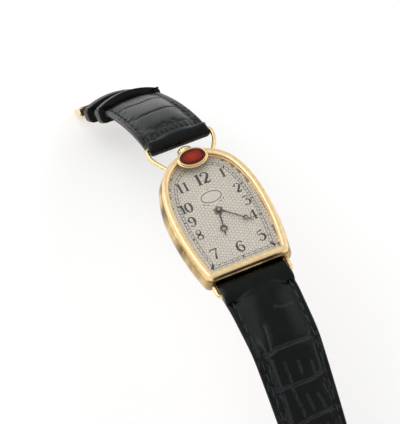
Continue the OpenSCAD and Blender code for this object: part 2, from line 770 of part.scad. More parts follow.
// Motion work under the dial and the hands above it
hour_z = dial_z + 0.3;
minute_z = hour_z + hand_t + 0.12;
minute_a = 90 - 6 * minutes_past_six;
hour_a = 90 - 180 - minutes_past_six / 2;
module cannon_pinion() {
    color(steel)
    difference() {
        union() {
            translate([0, 0, motion_low]) linear_extrude(0.14)
                gear(cannon_teeth, cannon_r, minute_wheel_dir);
            translate([0, 0, motion_low])
                cylinder(r = cannon_tube_r, h = minute_z + hand_t + 0.04 - motion_low, $fn = 36);
        }
        translate([0, 0, motion_low - 1])
            cylinder(r = centre_arbor_r + run, h = minute_z - motion_low + 1 - 0.04, $fn = 36);
    }
}
module minute_wheel() {
    color(brass)
    at(minute_wheel_at, 0)
    difference() {
        union() {
            translate([0, 0, motion_low]) linear_extrude(0.14)
                gear(minute_teeth, minute_wheel_r, minute_wheel_dir + 180 + 180 / minute_teeth);
            translate([0, 0, motion_low]) linear_extrude(motion_high + 0.14 - motion_low)
                gear(hour_pinion_teeth, hour_pinion_teeth * motion_m / 2, minute_wheel_dir + 180);
        }
        translate([0, 0, motion_low - 1]) cylinder(r = 0.15 + run, h = 3, $fn = 24);
    }
}
module hour_wheel() {
    color(brass)
    difference() {
        union() {
            translate([0, 0, motion_high]) linear_extrude(0.14)
                gear(hour_teeth, hour_teeth * motion_m / 2, minute_wheel_dir + 180 / hour_teeth);
            translate([0, 0, motion_high])
                cylinder(r = hour_tube_r, h = hour_z + hand_t + 0.02 - motion_high, $fn = 48);
        }
        translate([0, 0, motion_high - 1]) cylinder(r = cannon_tube_r + run, h = 4, $fn = 36);
    }
}
// Hand with an open ring: a slim tapered arm, an off-centre eye in the ring and a pointed tip
module hand(length, ring_r, ring_at, arm, hub_r, bore_r) {
    blade_at = ring_at + ring_r + (length - ring_at - ring_r) * 0.35;
    linear_extrude(hand_t)
    difference() {
        union() {
            circle(r = hub_r, $fn = 48);
            polygon([[0, -arm], [ring_at, -arm * 0.55], [ring_at, arm * 0.55], [0, arm]]);
            translate([ring_at, 0]) circle(r = ring_r, $fn = 48);
            polygon([
                [ring_at + ring_r * 0.8, -arm * 0.75], [blade_at, -arm * 0.9], [length, 0],
                [blade_at, arm * 0.9], [ring_at + ring_r * 0.8, arm * 0.75]]);
        }
        circle(r = bore_r, $fn = 36);
        translate([ring_at + ring_r * 0.16, 0]) circle(r = ring_r * 0.62, $fn = 36);
    }
}
module hour_hand() {
    color([0.35, 0.32, 0.38])
    translate([0, 0, hour_z]) rotate([0, 0, hour_a])
        hand(hour_l, hour_ring_r, hour_l * 0.7, 0.2, 0.74, hour_tube_r + 0.005);
}
module minute_hand() {
    color([0.35, 0.32, 0.38])
    translate([0, 0, minute_z]) rotate([0, 0, minute_a])
        hand(minute_l, minute_ring_r, minute_l * 0.76, 0.16, 0.58, cannon_tube_r + 0.005);
}

// Strap halves, drawn on the +Y side. A route is a start slope and a list of [length, turn].
// Slopes are degrees below the horizontal, and each turn is spread evenly over its length.
end_t = outer_t + lining_t + 0.25;
fold_r = wire_r + run + 1.15;
fold_bar_r = bar_d / 2 + run + 1;
fold_in = 0.7;
upper_slope = 18;
upper_route = [[9, 15], [12, 8], [13, 5], [4, 8], [12, 0], [14, -6]];
lower_slope = -12;
lower_bend = [[3, 4], [4, 18], [6.5, 2], [6, 28], [14, 4]];
// The buckle's tip and the strap's tail touch the ground that the watch stands on
buckle_slope = 54;
buckle_reach = frame_gap + frame_metal;
buckle_end = step_end(upper_route, [upper_bar_y, wire_z], upper_slope)[0];
floor_z = buckle_end.y - buckle_reach * sin(buckle_slope) + (fold_bar_r - frame_t) * cos(buckle_slope);
bend_end = step_end(lower_bend, [-lower_bar_y, wire_z], lower_slope);
flare_r = 30;
lower_flat = 12;
lower_straight = (bend_end[0].y - flare_r * (1 - cos(bend_end[1])) - floor_z - end_t / 2) / sin(bend_end[1]);
lower_route = concat(lower_bend,
    [[lower_straight, 0], [flare_r * bend_end[1] * PI / 180, -bend_end[1]], [lower_flat, 0]]);
function sum_first(v, n) = n <= 0 ? 0 : v[n - 1][0] + sum_first(v, n - 1);
upper_l = sum_first(upper_route, len(upper_route));
lower_l = sum_first(lower_route, len(lower_route));

function advance(p, slope, length, turn) =
    abs(turn) < 0.001
        ? p + length * [cos(slope), -sin(slope)]
        : let (r = length / (turn * PI / 180))
            p + r * [sin(slope + turn) - sin(slope), cos(slope + turn) - cos(slope)];
function step_end(route, p, slope, k = 0) =
    k >= len(route) ? [p, slope]
        : step_end(route, advance(p, slope, route[k][0], route[k][1]), slope + route[k][1], k + 1);
function frame_at(route, s, p, slope, k = 0) =
    (k == len(route) - 1 || s <= route[k][0])
        ? let (turn = route[k][1] * s / route[k][0]) [advance(p, slope, s, turn), slope + turn]
        : frame_at(route, s - route[k][0], advance(p, slope, route[k][0], route[k][1]),
            slope + route[k][1], k + 1);
// Point of a strap: x across, n outwards from the middle surface
function strap_point(f, x, n) = [x, f[0].x + n * sin(f[1]), f[0].y + n * cos(f[1])];

function smooth(t) = let (u = min(max(t, 0), 1)) u * u * (3 - 2 * u);
function half_w(lug_w, s) = (lug_w + (end_w - lug_w) * min(s / taper_l, 1)) / 2;
function crown_h(s) = (padded_t - end_t) * (1 - smooth((s - 4) / (padding_l - 6)));
function total_t(s) = end_t + crown_h(s) * smooth((s + 9) / 12);
function lining_top(s) = -total_t(s) / 2 + lining_t;
function pad_top(s, u) = lining_top(s) + pad_edge
    + max(total_t(s) - outer_t - lining_t - pad_edge - 0.02, 0.02) * (1 - pow(abs(u), 3));

// Closed slab between two grids of points with the same number of rows and columns
module slab(low, high) {
    rows = len(low);
    cols = len(low[0]);
    n = rows * cols;
    points = concat([for (r = low, p = r) p], [for (r = high, p = r) p]);
    low_faces = [for (i = [0:rows - 2], k = [0:cols - 2])
        let (a = i * cols + k, b = a + cols) each [[a, b + 1, b], [a, a + 1, b + 1]]];
    high_faces = [for (i = [0:rows - 2], k = [0:cols - 2])
        let (a = n + i * cols + k, b = a + cols) each [[a, b, b + 1], [a, b + 1, a + 1]]];
    sides = [for (i = [0:rows - 2])
        let (a = i * cols, b = a + cols, c = a + cols - 1, d = b + cols - 1)
        each [[a, b, b + n], [a, b + n, a + n], [c, c + n, d + n], [c, d + n, d]]];
    ends = [for (k = [0:cols - 2])
        let (a = k, c = (rows - 1) * cols + k)
        each [[a, a + 1 + n, a + 1], [a, a + n, a + 1 + n], [c, c + 1, c + 1 + n], [c, c + 1 + n, c + n]]];
    polyhedron(points, concat(low_faces, high_faces, sides, ends));
}
// Stations along a strap: closer together where the strap bends or the padding begins
function stations(from, to, pitch) =
    let (count = ceil((to - from) / pitch)) [for (k = [0:count]) from + (to - from) * k / count];
pad_us = [-1, -0.86, -0.6, -0.3, 0, 0.3, 0.6, 0.86, 1];
layer_start = fold_r + 0.1;
station_pitch = 2.9;
layer_gap = 0.01;
function layer_rows(to) =
    concat(stations(layer_start, padding_l, station_pitch), stations(padding_l + 0.5, to, station_pitch));

module lining(route, bar_y, slope, lug_w, length) {
    rows = layer_rows(length);
    function row(s, n) = let (f = frame_at(route, s, [bar_y, wire_z], slope), w = half_w(lug_w, s))
        [for (x = [-w + 0.15, 0, w - 0.15]) strap_point(f, x, n)];
    slab([for (s = rows) row(s, lining_top(s) - lining_t)],
        [for (s = rows) row(s, lining_top(s) - layer_gap)]);
}
module padding(route, bar_y, slope, lug_w) {
    rows = stations(layer_start, padding_l, station_pitch);
    function low(s) = let (f = frame_at(route, s, [bar_y, wire_z], slope), w = half_w(lug_w, s) - margin_w)
        [for (u = pad_us) strap_point(f, u * w, lining_top(s))];
    function high(s) = let (f = frame_at(route, s, [bar_y, wire_z], slope), w = half_w(lug_w, s) - margin_w)
        [for (u = pad_us) strap_point(f, u * w, pad_top(s, u) - layer_gap)];
    slab([for (s = rows) low(s)], [for (s = rows) high(s)]);
}
// Outer leather: over the padding, down to the sewn margins, and past the padding's end flat on the lining
module outer_leather(route, bar_y, slope, lug_w, length, more = []) {
    edge = 0.3;
    function under(s, u) = s <= padding_l ? pad_top(s, u) : lining_top(s) + 0.02;
    function low(s) = let (f = frame_at(route, s, [bar_y, wire_z], slope), w = half_w(lug_w, s),
            wi = w - margin_w, base = lining_top(s))
        concat([strap_point(f, -w, base), strap_point(f, -w + edge, base), strap_point(f, -wi - 0.02, base)],
            [for (u = pad_us) strap_point(f, u * wi, under(s, u))],
            [strap_point(f, wi + 0.02, base), strap_point(f, w - edge, base), strap_point(f, w, base)]);
    function high(s) = let (f = frame_at(route, s, [bar_y, wire_z], slope), w = half_w(lug_w, s),
            wi = w - margin_w, base = lining_top(s))
        concat([strap_point(f, -w, base + outer_t * 0.55), strap_point(f, -w + edge, base + outer_t * 0.92),
                strap_point(f, -wi - 0.25, base + outer_t)],
            [for (u = pad_us) strap_point(f, u * wi, pad_top(s, u) + outer_t)],
            [strap_point(f, wi + 0.25, base + outer_t), strap_point(f, w - edge, base + outer_t * 0.92),
                strap_point(f, w, base + outer_t * 0.55)]);
    rows = concat([fold_in], layer_rows(length), more);
    slab([for (s = rows) low(s)], [for (s = rows) high(s)]);
}
module across(y, z, r, w, sides = 48) {
    translate([-w / 2, y, z]) rotate([0, 90, 0]) cylinder(r = r, h = w, $fn = sides);
}

fold_side = 0.3;
slot_side = 0.35;
slot_reach = 3;
upper_lining_l = upper_l - fold_bar_r - 0.75;
module upper_strap_leather() {
    end = frame_at(upper_route, upper_l, [upper_bar_y, wire_z], upper_slope);
    color(black)
    difference() {
        union() {
            outer_leather(upper_route, upper_bar_y, upper_slope, upper_w, upper_lining_l,
                [upper_l - fold_in]);
            across(upper_bar_y, wire_z, fold_r, upper_w - 2 * fold_side);
            across(end[0].x, end[0].y, fold_bar_r, end_w);
        }
        across(upper_bar_y, wire_z, wire_r + run, upper_w + 2);
        across(end[0].x, end[0].y, bar_d / 2 + run, end_w + 2);
        at_buckle() translate([-tongue_w / 2 - slot_side, -slot_reach, -slot_reach])
            cube([tongue_w + 2 * slot_side, slot_reach + fold_bar_r + 0.6, 2 * slot_reach]);
    }
}
module upper_strap_padding() {
    color([0.45, 0.40, 0.35]) padding(upper_route, upper_bar_y, upper_slope, upper_w);
}
module upper_strap_lining() {
    color([0.16, 0.13, 0.11])
    lining(upper_route, upper_bar_y, upper_slope, upper_w, upper_lining_l);
}
module lower_side() {
    mirror([0, 1, 0]) children();
}
holes_from_tip = 13;
module tail_cuts() {
    for (k = [0:hole_count - 1]) {
        s = lower_l - holes_from_tip - k * hole_pitch;
        f = frame_at(lower_route, s, [-lower_bar_y, wire_z], lower_slope);
        translate([0, f[0].x, f[0].y]) rotate([-f[1], 0, 0]) translate([0, 0, -3])
            cylinder(r = hole_d / 2, h = 6, $fn = 32);
    }
    tip = step_end(lower_route, [-lower_bar_y, wire_z], lower_slope)[0];
    function edge(u) = [end_w / 2 * (1 - pow(1 - u, 2)) + 0.02, -tip_l * pow(u, 1.6) - 0.02];
    translate([0, tip.x, tip.y - 3]) linear_extrude(6)
    difference() {
        translate([-end_w, -tip_l]) square([2 * end_w, tip_l + 1]);
        polygon(concat(
            [for (k = [0:8]) edge(k / 8)],
            [[end_w, -tip_l - 2], [-end_w, -tip_l - 2]],
            [for (k = [8:-1:0]) [-edge(k / 8).x, edge(k / 8).y]]));
    }
}
module lower_strap_leather() {
    color(black)
    lower_side()
    difference() {
        union() {
            outer_leather(lower_route, -lower_bar_y, lower_slope, lower_w, lower_l);
            across(-lower_bar_y, wire_z, fold_r, lower_w - 2 * fold_side);
        }
        across(-lower_bar_y, wire_z, wire_r + run, lower_w + 2);
        tail_cuts();
    }
}
module lower_strap_padding() {
    color([0.45, 0.40, 0.35]) lower_side() padding(lower_route, -lower_bar_y, lower_slope, lower_w);
}
module lower_strap_lining() {
    color([0.16, 0.13, 0.11])
    lower_side()
    difference() {
        lining(lower_route, -lower_bar_y, lower_slope, lower_w, lower_l);
        tail_cuts();
    }
}

// Keepers: loops of leather, flat at the lining, low at the strap's edges and arched over its middle
keeper_side_room = 0.3;
keeper_mid_room = 1.2;
function loop_points(half, low, mid_z, arch, low_r, side_r) =
    let (x = half - side_r, z = mid_z + sqrt(pow(arch - side_r, 2) - x * x), b = atan2(z - mid_z, x),
        right = concat(
            [for (a = [-90:15:0]) [half - low_r + low_r * cos(a), low + low_r + low_r * sin(a)]],
            [for (k = [0:4]) [x + side_r * cos(b * k / 4), z + side_r * sin(b * k / 4)]],
            [for (k = [1:8]) let (a = b + (90 - b) * k / 8) [arch * cos(a), mid_z + arch * sin(a)]]))
    concat(right, [for (k = [len(right) - 2:-1:0]) [-right[k].x, right[k].y]]);
module keeper(s, lug_w, room_in) {
    f = frame_at(upper_route, s, [upper_bar_y, wire_z], upper_slope);
    half = half_w(lug_w, s - keeper_l / 2) + soft_gap;
    low = -total_t(s) / 2 - room_in;
    side = lining_top(s) + 0.55 * outer_t + keeper_side_room;
    rise = total_t(s) / 2 + keeper_mid_room - side;
    arch = (half * half + rise * rise) / (2 * rise);
    mid_z = side + rise - arch;
    color(black)
    translate([0, f[0].x, f[0].y]) rotate([-f[1], 0, 0]) rotate([90, 0, 0])
    translate([0, 0, -keeper_l / 2]) linear_extrude(keeper_l)
    difference() {
        polygon(loop_points(half + keeper_t, low - keeper_t, mid_z, arch + keeper_t, 1.4, 1.2));
        polygon(loop_points(half, low, mid_z, arch, 0.5, 0.3));
    }
}
fixed_keeper_s = upper_l - fold_bar_r - 1.2 - keeper_l / 2;
free_keeper_s = sum_first(upper_route, 4) + 4.3;
module fixed_keeper() {
    keeper(fixed_keeper_s, upper_w, soft_gap);
}
module free_keeper() {
    keeper(free_keeper_s, upper_w, 3 * soft_gap);
}

// Buckle: spring bar in the strap's end, frame hanging on beyond it, tongue in the frame's notch.
// Drawn with the frame towards -Y and its outer side down, then turned to its slope.
ear_gap = 0.25;
ear_t = 1.4;
frame_half = end_w / 2 + ear_gap;
pivot_tip_r = 0.35;
ear_r = 0.9;
frame_low = -fold_bar_r;
frame_round = 2.6;
gap_round = 1.2;
module at_buckle() {
    translate([0, buckle_end.x, buckle_end.y]) rotate([180 - buckle_slope, 0, 0]) children();
}
module frame_plan() {
    outer = frame_half + ear_t;
    difference() {
        union() {
            translate([-outer, -buckle_reach + frame_round])
                square([2 * outer, buckle_reach - frame_round + ear_r]);
            translate([-outer + frame_round, -buckle_reach])
                square([2 * (outer - frame_round), frame_round + 0.1]);
            for (sx = [-1, 1]) translate([sx * (outer - frame_round), -buckle_reach + frame_round])
                circle(r = frame_round, $fn = 48);
        }
        translate([-frame_half, -frame_gap + gap_round]) square([2 * frame_half, buckle_reach + 2]);
        translate([-frame_half + gap_round, -frame_gap]) square([2 * (frame_half - gap_round), 3]);
        for (sx = [-1, 1]) translate([sx * (frame_half - gap_round), -frame_gap + gap_round])
            circle(r = gap_round, $fn = 36);
    }
}
module buckle_spring_bar() {
    color(steel)
    at_buckle() {
        across(0, 0, bar_d / 2, end_w + 0.3);
        across(0, 0, pivot_tip_r, 2 * (frame_half + ear_t - 0.2), 32);
    }
}
module buckle_frame() {
    color(gold)
    at_buckle()
    difference() {
        union() {
            translate([0, 0, frame_low]) linear_extrude(frame_t) frame_plan();
            for (sx = [-1, 1]) translate([sx * (frame_half + ear_t / 2), 0, 0]) {
                across(0, 0, ear_r, ear_t, 36);
                translate([-ear_t / 2, -ear_r, frame_low + 0.1]) cube([ear_t, 2 * ear_r, -frame_low - 0.1]);
            }
        }
        for (sx = [-1, 1]) translate([sx * (frame_half + ear_t / 2), 0, 0])
            across(0, 0, pivot_tip_r + run, ear_t + 1, 32);
        translate([-tongue_w / 2 - 0.12, -buckle_reach - 1, frame_low - 1])
            cube([tongue_w + 0.24, frame_metal + 2, 1 + tongue_t + 0.15]);
    }
}
tongue_hub_r = bar_d / 2 + run + 0.35;
module buckle_tongue() {
    reach = buckle_reach - 0.1;
    drop = frame_low + 0.08;
    color(gold)
    at_buckle()
    difference() {
        union() {
            across(0, 0, tongue_hub_r, tongue_w);
            translate([tongue_w / 2, 0, 0]) rotate([0, -90, 0]) linear_extrude(tongue_w)
                polygon([
                    [-tongue_hub_r + 0.02, 0.3], [-tongue_hub_r + tongue_t, 0.3],
                    [-tongue_hub_r + tongue_t, -1.2], [drop + tongue_t, -frame_gap + 0.3],
                    [drop + tongue_t, -reach], [drop + 0.15, -reach - 0.05],
                    [drop, -reach + 0.2], [drop, -frame_gap + 0.2], [-tongue_hub_r + 0.02, -0.9]]);
        }
        across(0, 0, bar_d / 2 + run, tongue_w + 2);
    }
}

bezel();
crystal();
dial_ring();
mid_case();
case_back();
back_gasket();
dial();
badge_mount();
badge_enamel();
upper_wire_lug();
lower_wire_lug();
crown_tube();
crown_gasket();
crown();
winding_stem();
hour_hand();
minute_hand();
cannon_pinion();
hour_wheel();
minute_wheel();
movement_ring();
mainplate();
train_bridge();
balance_cock();
jewels();
bridge_screws();
barrel();
mainspring();
ratchet_wheel();
crown_wheel();
centre_wheel();
third_wheel();
fourth_wheel();
escape_wheel();
pallet_fork();
balance_wheel();
hairspring();
upper_strap_leather();
upper_strap_padding();
upper_strap_lining();
lower_strap_leather();
lower_strap_padding();
lower_strap_lining();
fixed_keeper();
free_keeper();
buckle_spring_bar();
buckle_frame();
buckle_tongue();
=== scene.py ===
# %% [markdown]
# # A small dress watch with an arched case
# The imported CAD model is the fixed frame: it says where every part is and how it moves.
# This notebook dresses it. It makes rounder metal, a honeycomb dial, grained leather and stitches,
# and gives every part a finish. Lengths are in millimetres until a piece is finished.

# %% Load the frame
import json
import math
import random

import bmesh
import bpy
import numpy as np
from mathutils import Matrix, Vector

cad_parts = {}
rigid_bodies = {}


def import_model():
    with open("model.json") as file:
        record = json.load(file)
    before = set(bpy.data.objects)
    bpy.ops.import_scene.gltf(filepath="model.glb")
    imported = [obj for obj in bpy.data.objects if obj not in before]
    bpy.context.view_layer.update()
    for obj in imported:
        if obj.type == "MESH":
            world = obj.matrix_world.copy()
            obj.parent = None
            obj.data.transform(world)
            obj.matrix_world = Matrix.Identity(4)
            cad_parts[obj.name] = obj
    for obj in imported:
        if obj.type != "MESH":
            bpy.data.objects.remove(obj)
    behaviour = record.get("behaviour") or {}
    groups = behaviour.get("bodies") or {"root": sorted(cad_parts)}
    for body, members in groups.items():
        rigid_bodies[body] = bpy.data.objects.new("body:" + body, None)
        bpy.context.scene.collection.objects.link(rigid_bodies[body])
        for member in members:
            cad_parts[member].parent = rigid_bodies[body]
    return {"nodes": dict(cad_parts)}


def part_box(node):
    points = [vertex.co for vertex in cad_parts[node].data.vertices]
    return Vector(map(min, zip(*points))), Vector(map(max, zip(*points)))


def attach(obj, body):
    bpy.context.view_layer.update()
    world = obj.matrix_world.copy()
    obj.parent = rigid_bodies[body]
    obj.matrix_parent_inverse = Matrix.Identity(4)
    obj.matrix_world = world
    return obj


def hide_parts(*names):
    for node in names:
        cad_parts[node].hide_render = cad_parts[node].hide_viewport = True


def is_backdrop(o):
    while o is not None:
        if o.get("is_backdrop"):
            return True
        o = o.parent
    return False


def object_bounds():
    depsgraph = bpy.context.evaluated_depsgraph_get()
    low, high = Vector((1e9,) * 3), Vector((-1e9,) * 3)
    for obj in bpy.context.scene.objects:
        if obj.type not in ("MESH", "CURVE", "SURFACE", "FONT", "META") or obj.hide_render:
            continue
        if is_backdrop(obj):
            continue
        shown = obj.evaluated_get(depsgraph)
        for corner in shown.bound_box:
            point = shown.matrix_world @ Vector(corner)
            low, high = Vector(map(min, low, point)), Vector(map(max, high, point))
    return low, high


# Blender starts with a cube, a lamp and a camera of its own, which aren't wanted here.
for old in list(bpy.data.objects):
    bpy.data.objects.remove(old)
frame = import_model()
cad_box = [list(corner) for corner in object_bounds()]
scene = bpy.context.scene
MM = 0.001
print("nodes:", len(frame["nodes"]), "CAD box:", cad_box)

# %% [markdown]
# ## Camera
# The watch is seen from above its foot, a little from the left, with a long lens. A camera can be
# turned to its object by hand or by a Track To constraint. Here its place, its look and its up
# direction are known, because they were fitted to the case's outline and the dial's rows of cells,
# so they are written as vectors and become the camera's matrix.

# %% Make the camera
CAMERA_PLACE = Vector((-106.0, -225.5, 395.7))
CAMERA_LOOK = Vector((0.2196, 0.4891, -0.8441))
CAMERA_UP = Vector((0.3495, 0.7684, 0.5361))
CAMERA_LENS = 169.8
NEAREST, FARTHEST = 20, 20000
camera_data = bpy.data.cameras.new("camera")
camera_data.lens = CAMERA_LENS
camera_data.clip_start = NEAREST * MM
camera_data.clip_end = FARTHEST * MM
camera = bpy.data.objects.new("camera", camera_data)
look = CAMERA_LOOK.normalized()
right = look.cross(CAMERA_UP).normalized()
turn = Matrix((right, right.cross(look), -look)).transposed()
camera.matrix_world = Matrix.Translation(CAMERA_PLACE * MM) @ turn.to_4x4()
scene.collection.objects.link(camera)
scene.camera = camera
scene.view_settings.view_transform = "Standard"
print("camera at", tuple(round(c, 3) for c in camera.location), "lens", CAMERA_LENS)

# %% [markdown]
# ## Small helpers
# A material is a small network of nodes, and a piece is a mesh with a finish that rides on a body.
# Both could be spelled out each time. Instead one function adds a node with its settings and links,
# one turns a written colour into linear light, and one finishes a piece: it scales the mesh to
# metres, shades it and says which body carries it and which CAD nodes it stands for.

# %% Helpers for nodes and pieces
WELD = 0.0005


def linear(code):
    """A written sRGB colour, such as "#FFE6B8", as linear light."""
    parts = [int(code[i:i + 2], 16) / 255 for i in (1, 3, 5)]
    return [c / 12.92 if c <= 0.04045 else ((c + 0.055) / 1.055) ** 2.4 for c in parts] + [1]


def add(finish, kind, inputs=None, **settings):
    """Adds a node to a finish. An input is a value, or the socket of another node."""
    node = finish.node_tree.nodes.new(kind)
    for key, value in settings.items():
        setattr(node, key, value)
    for socket, value in (inputs or {}).items():
        if isinstance(value, bpy.types.NodeSocket):
            finish.node_tree.links.new(value, node.inputs[socket])
        else:
            node.inputs[socket].default_value = value
    return node


def new_finish(name):
    """An empty material of nodes."""
    finish = bpy.data.materials.new(name)
    finish.use_nodes = True
    finish.node_tree.nodes.clear()
    return finish


def surface(finish, shader):
    """Ends the finish's nodes with this shader."""
    add(finish, "ShaderNodeOutputMaterial", {"Surface": shader})
    return finish


def ramp(finish, factor, stops):
    """A colour that goes through the stops, each a place and a colour, as the factor grows."""
    node = add(finish, "ShaderNodeValToRGB", {"Fac": factor})
    marks = node.color_ramp.elements
    while len(marks) < len(stops):
        marks.new(0.5)
    for mark, (place, code) in zip(marks, stops):
        mark.position = place
        mark.color = linear(code)
    return node.outputs["Color"]


def finish_piece(name, bm, body, finish, replaces=(), sharp=35, weld=True):
    """Makes a bmesh in millimetres a piece of the object, in metres, with its finish."""
    if weld:
        bmesh.ops.remove_doubles(bm, verts=bm.verts, dist=WELD)
        bmesh.ops.recalc_face_normals(bm, faces=bm.faces)
    bmesh.ops.scale(bm, vec=(MM, MM, MM), verts=bm.verts)
    mesh = bpy.data.meshes.new(name)
    bm.to_mesh(mesh)
    bm.free()
    mesh.shade_smooth()
    mesh.set_sharp_from_angle(angle=math.radians(sharp))
    piece = bpy.data.objects.new(name, mesh)
    scene.collection.objects.link(piece)
    mesh.materials.append(finish)
    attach(piece, body)
    if replaces:
        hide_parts(*replaces)
    print(name, len(mesh.polygons), "faces")
    return piece


print("a middle grey in linear light:", round(linear("#808080")[0], 3))

# %% [markdown]
# ## Finishes of metal, rubber and print
# The case is yellow gold, polished by hand, so it mirrors the room but its reflections waver a
# little, and fine wear makes some places duller than others. A flat metallic colour would look
# like plastic. So one cloud of noise, as wide as the wear is, moves both the tone and the
# roughness, and a second, wider one gives the waver through a faint bump. On the band the cloud
# is millimetres wide, and its dark and pale tones are painted reflections.

# %% Gold, brass and steel
RIPPLE_MM, RIPPLE_DEEP_MM = 2.5, 0.3


def metal(name, light, dark, rough, wear_and_reflection_mm, waver=0.02, haze=0.08, spread=0.15, upright=1.0):
    """A worn polish, its too fine hairlines drawn wider; on the band, painted reflections."""
    finish = new_finish(name)
    place = add(finish, "ShaderNodeTexCoord").outputs["Object"]
    drawn = add(finish, "ShaderNodeMapping", {"Vector": place, "Scale": (1.0, 1.0, upright)})
    cloud = add(finish, "ShaderNodeTexNoise",
                {"Vector": drawn.outputs["Vector"], "Scale": 1 / (wear_and_reflection_mm * MM),
                 "Detail": 4.0, "Roughness": 0.6})
    # On the band this tone is painted reflection: a wide cloud between far apart tones.
    tone = ramp(finish, cloud.outputs["Fac"], [(0.5 - spread, dark), (0.5 + spread, light)])
    dull = add(finish, "ShaderNodeMapRange",
               {"Value": cloud.outputs["Fac"], "From Min": 0.3, "From Max": 0.7,
                "To Min": rough, "To Max": rough + haze}).outputs["Result"]
    ripple = add(finish, "ShaderNodeTexNoise",
                 {"Vector": place, "Scale": 1 / (RIPPLE_MM * MM), "Detail": 1.0})
    bump = add(finish, "ShaderNodeBump",
               {"Height": ripple.outputs["Fac"], "Strength": waver, "Distance": RIPPLE_DEEP_MM * MM})
    shader = add(finish, "ShaderNodeBsdfPrincipled",
                 {"Base Color": tone, "Metallic": 1.0, "Roughness": dull,
                  "Normal": bump.outputs["Normal"]})
    return surface(finish, shader.outputs["BSDF"])


# The bezel is gold rubbed to a satin polish: pale and creamy, with soft edges to what it mirrors.
bezel_gold = metal("bezel_satin_polished_gold", "#FFE6B8", "#F6D59E", rough=0.32, wear_and_reflection_mm=0.9,
                   waver=0.04)
# The band is mirror polished gold. What is dark and pale round it is painted into its colour as
# broad upright patches of reflection, so it looks much deeper than the bezel.
band_gold_painted_reflections = metal("band_polished_gold_painted_reflections", "#DDC08A", "#6A5534", rough=0.1, wear_and_reflection_mm=5.0,
                  waver=0.2, haze=0.05, spread=0.16, upright=0.25)
# Buckle and back are gold from the buffing wheel: an even warm shine with faint hairlines of wear.
buffed_gold = metal("buckle_polished_gold", "#F8DDA8", "#EFD098", rough=0.16, wear_and_reflection_mm=1.2,
                    waver=0.05)
# Drawn gold wire comes from the die with a tight shine that breaks up in small patches.
wire_gold = metal("wire_drawn_gold", "#FBE0AE", "#EAC68C", rough=0.2, wear_and_reflection_mm=0.6, waver=0.03)
# Gilt brass has been grained with sand before the gilding, which gives a soft, dull yellow.
brass = metal("gilt_brass", "#D9BC74", "#C6A257", rough=0.3, wear_and_reflection_mm=0.7)
# Polished steel is a cool, slightly blue grey beside the gold.
steel = metal("polished_steel", "#C9CACC", "#A9ABAE", rough=0.18, wear_and_reflection_mm=0.8)
# The hands are steel tempered to brown: a dark, warm sheen, paler where the light falls flat.
hand_metal = metal("brown_tempered_steel", "#745C58", "#463431", rough=0.34, wear_and_reflection_mm=0.5)
print("metals:", [finish.name for finish in (bezel_gold, band_gold_painted_reflections, buffed_gold, wire_gold)])

# %% Ruby, rubber, print, silver and thread
GRAIN_DEEP_MM = 0.05


def plain(name, light, dark, rough, grain_mm, bump_strength=0.15, **sockets):
    """Two close tones and a faint bump. The grain is drawn a few times coarser, to show."""
    finish = new_finish(name)
    place = add(finish, "ShaderNodeTexCoord").outputs["Object"]
    cloud = add(finish, "ShaderNodeTexNoise",
                {"Vector": place, "Scale": 1 / (grain_mm * MM), "Detail": 3.0})
    tone = ramp(finish, cloud.outputs["Fac"], [(0.35, dark), (0.65, light)])
    bump = add(finish, "ShaderNodeBump",
               {"Height": cloud.outputs["Fac"], "Strength": bump_strength,
                "Distance": GRAIN_DEEP_MM * MM})
    shader = add(finish, "ShaderNodeBsdfPrincipled",
                 {"Base Color": tone, "Roughness": rough, "Normal": bump.outputs["Normal"], **sockets})
    return surface(finish, shader.outputs["BSDF"])


# Synthetic ruby is polished smooth, with the strong gloss of its high index.
ruby = plain("synthetic_ruby", "#C0203A", "#8E1230", rough=0.08, grain_mm=0.4, bump_strength=0.0,
             IOR=1.77)
# Moulded nitrile rubber is a matt near-black.
rubber = plain("gasket_rubber", "#1B1B1C", "#111112", rough=0.6, grain_mm=0.2)
# Pad-printed lacquer is a warm black, a little thicker in places.
ink = plain("black_dial_print", "#2A2320", "#1C1614", rough=0.5, grain_mm=0.2, bump_strength=0.05)
# The silver under the cells, seen in the grooves, is painted a darker grey as the shade there.
silver_painted_shade = plain("silvered_painted_shade", "#8A8272", "#776F62", rough=0.5, grain_mm=0.25,
                     bump_strength=0.05, Metallic=0.2)
# On the raised cells the same silver is painted a creamy white as the light they catch; brushed, it
# still glints.
silver_painted_light = plain("silvered_painted_light", "#E2DBCE", "#CFC7B9", rough=0.34, grain_mm=0.25,
                     bump_strength=0.05, Metallic=0.3)
# Waxed polyester thread is black with a dull shine on each twist.
thread = plain("waxed_black_thread", "#2C2F31", "#161819", rough=0.55, grain_mm=0.12,
               bump_strength=0.6)
print("silver:", [finish.name for finish in (silver_painted_shade, silver_painted_light)])

# %% [markdown]
# ## Enamel and crystal
# The badge is transparent red glass enamel over gold. The enamel pools deeper at its edge, so the
# colour runs from orange red in the middle to dark red at the rim. Real depth could come from
# coloured glass over metal, but a thin shell of glass renders slowly and noisily. The distance
# from the oval's middle, with a little cloud added, gives the same pooling.
# The crystal is mineral glass. Only its reflection matters, so it is clear with a mirror mixed in
# that is weak face on and strong at a grazing angle.

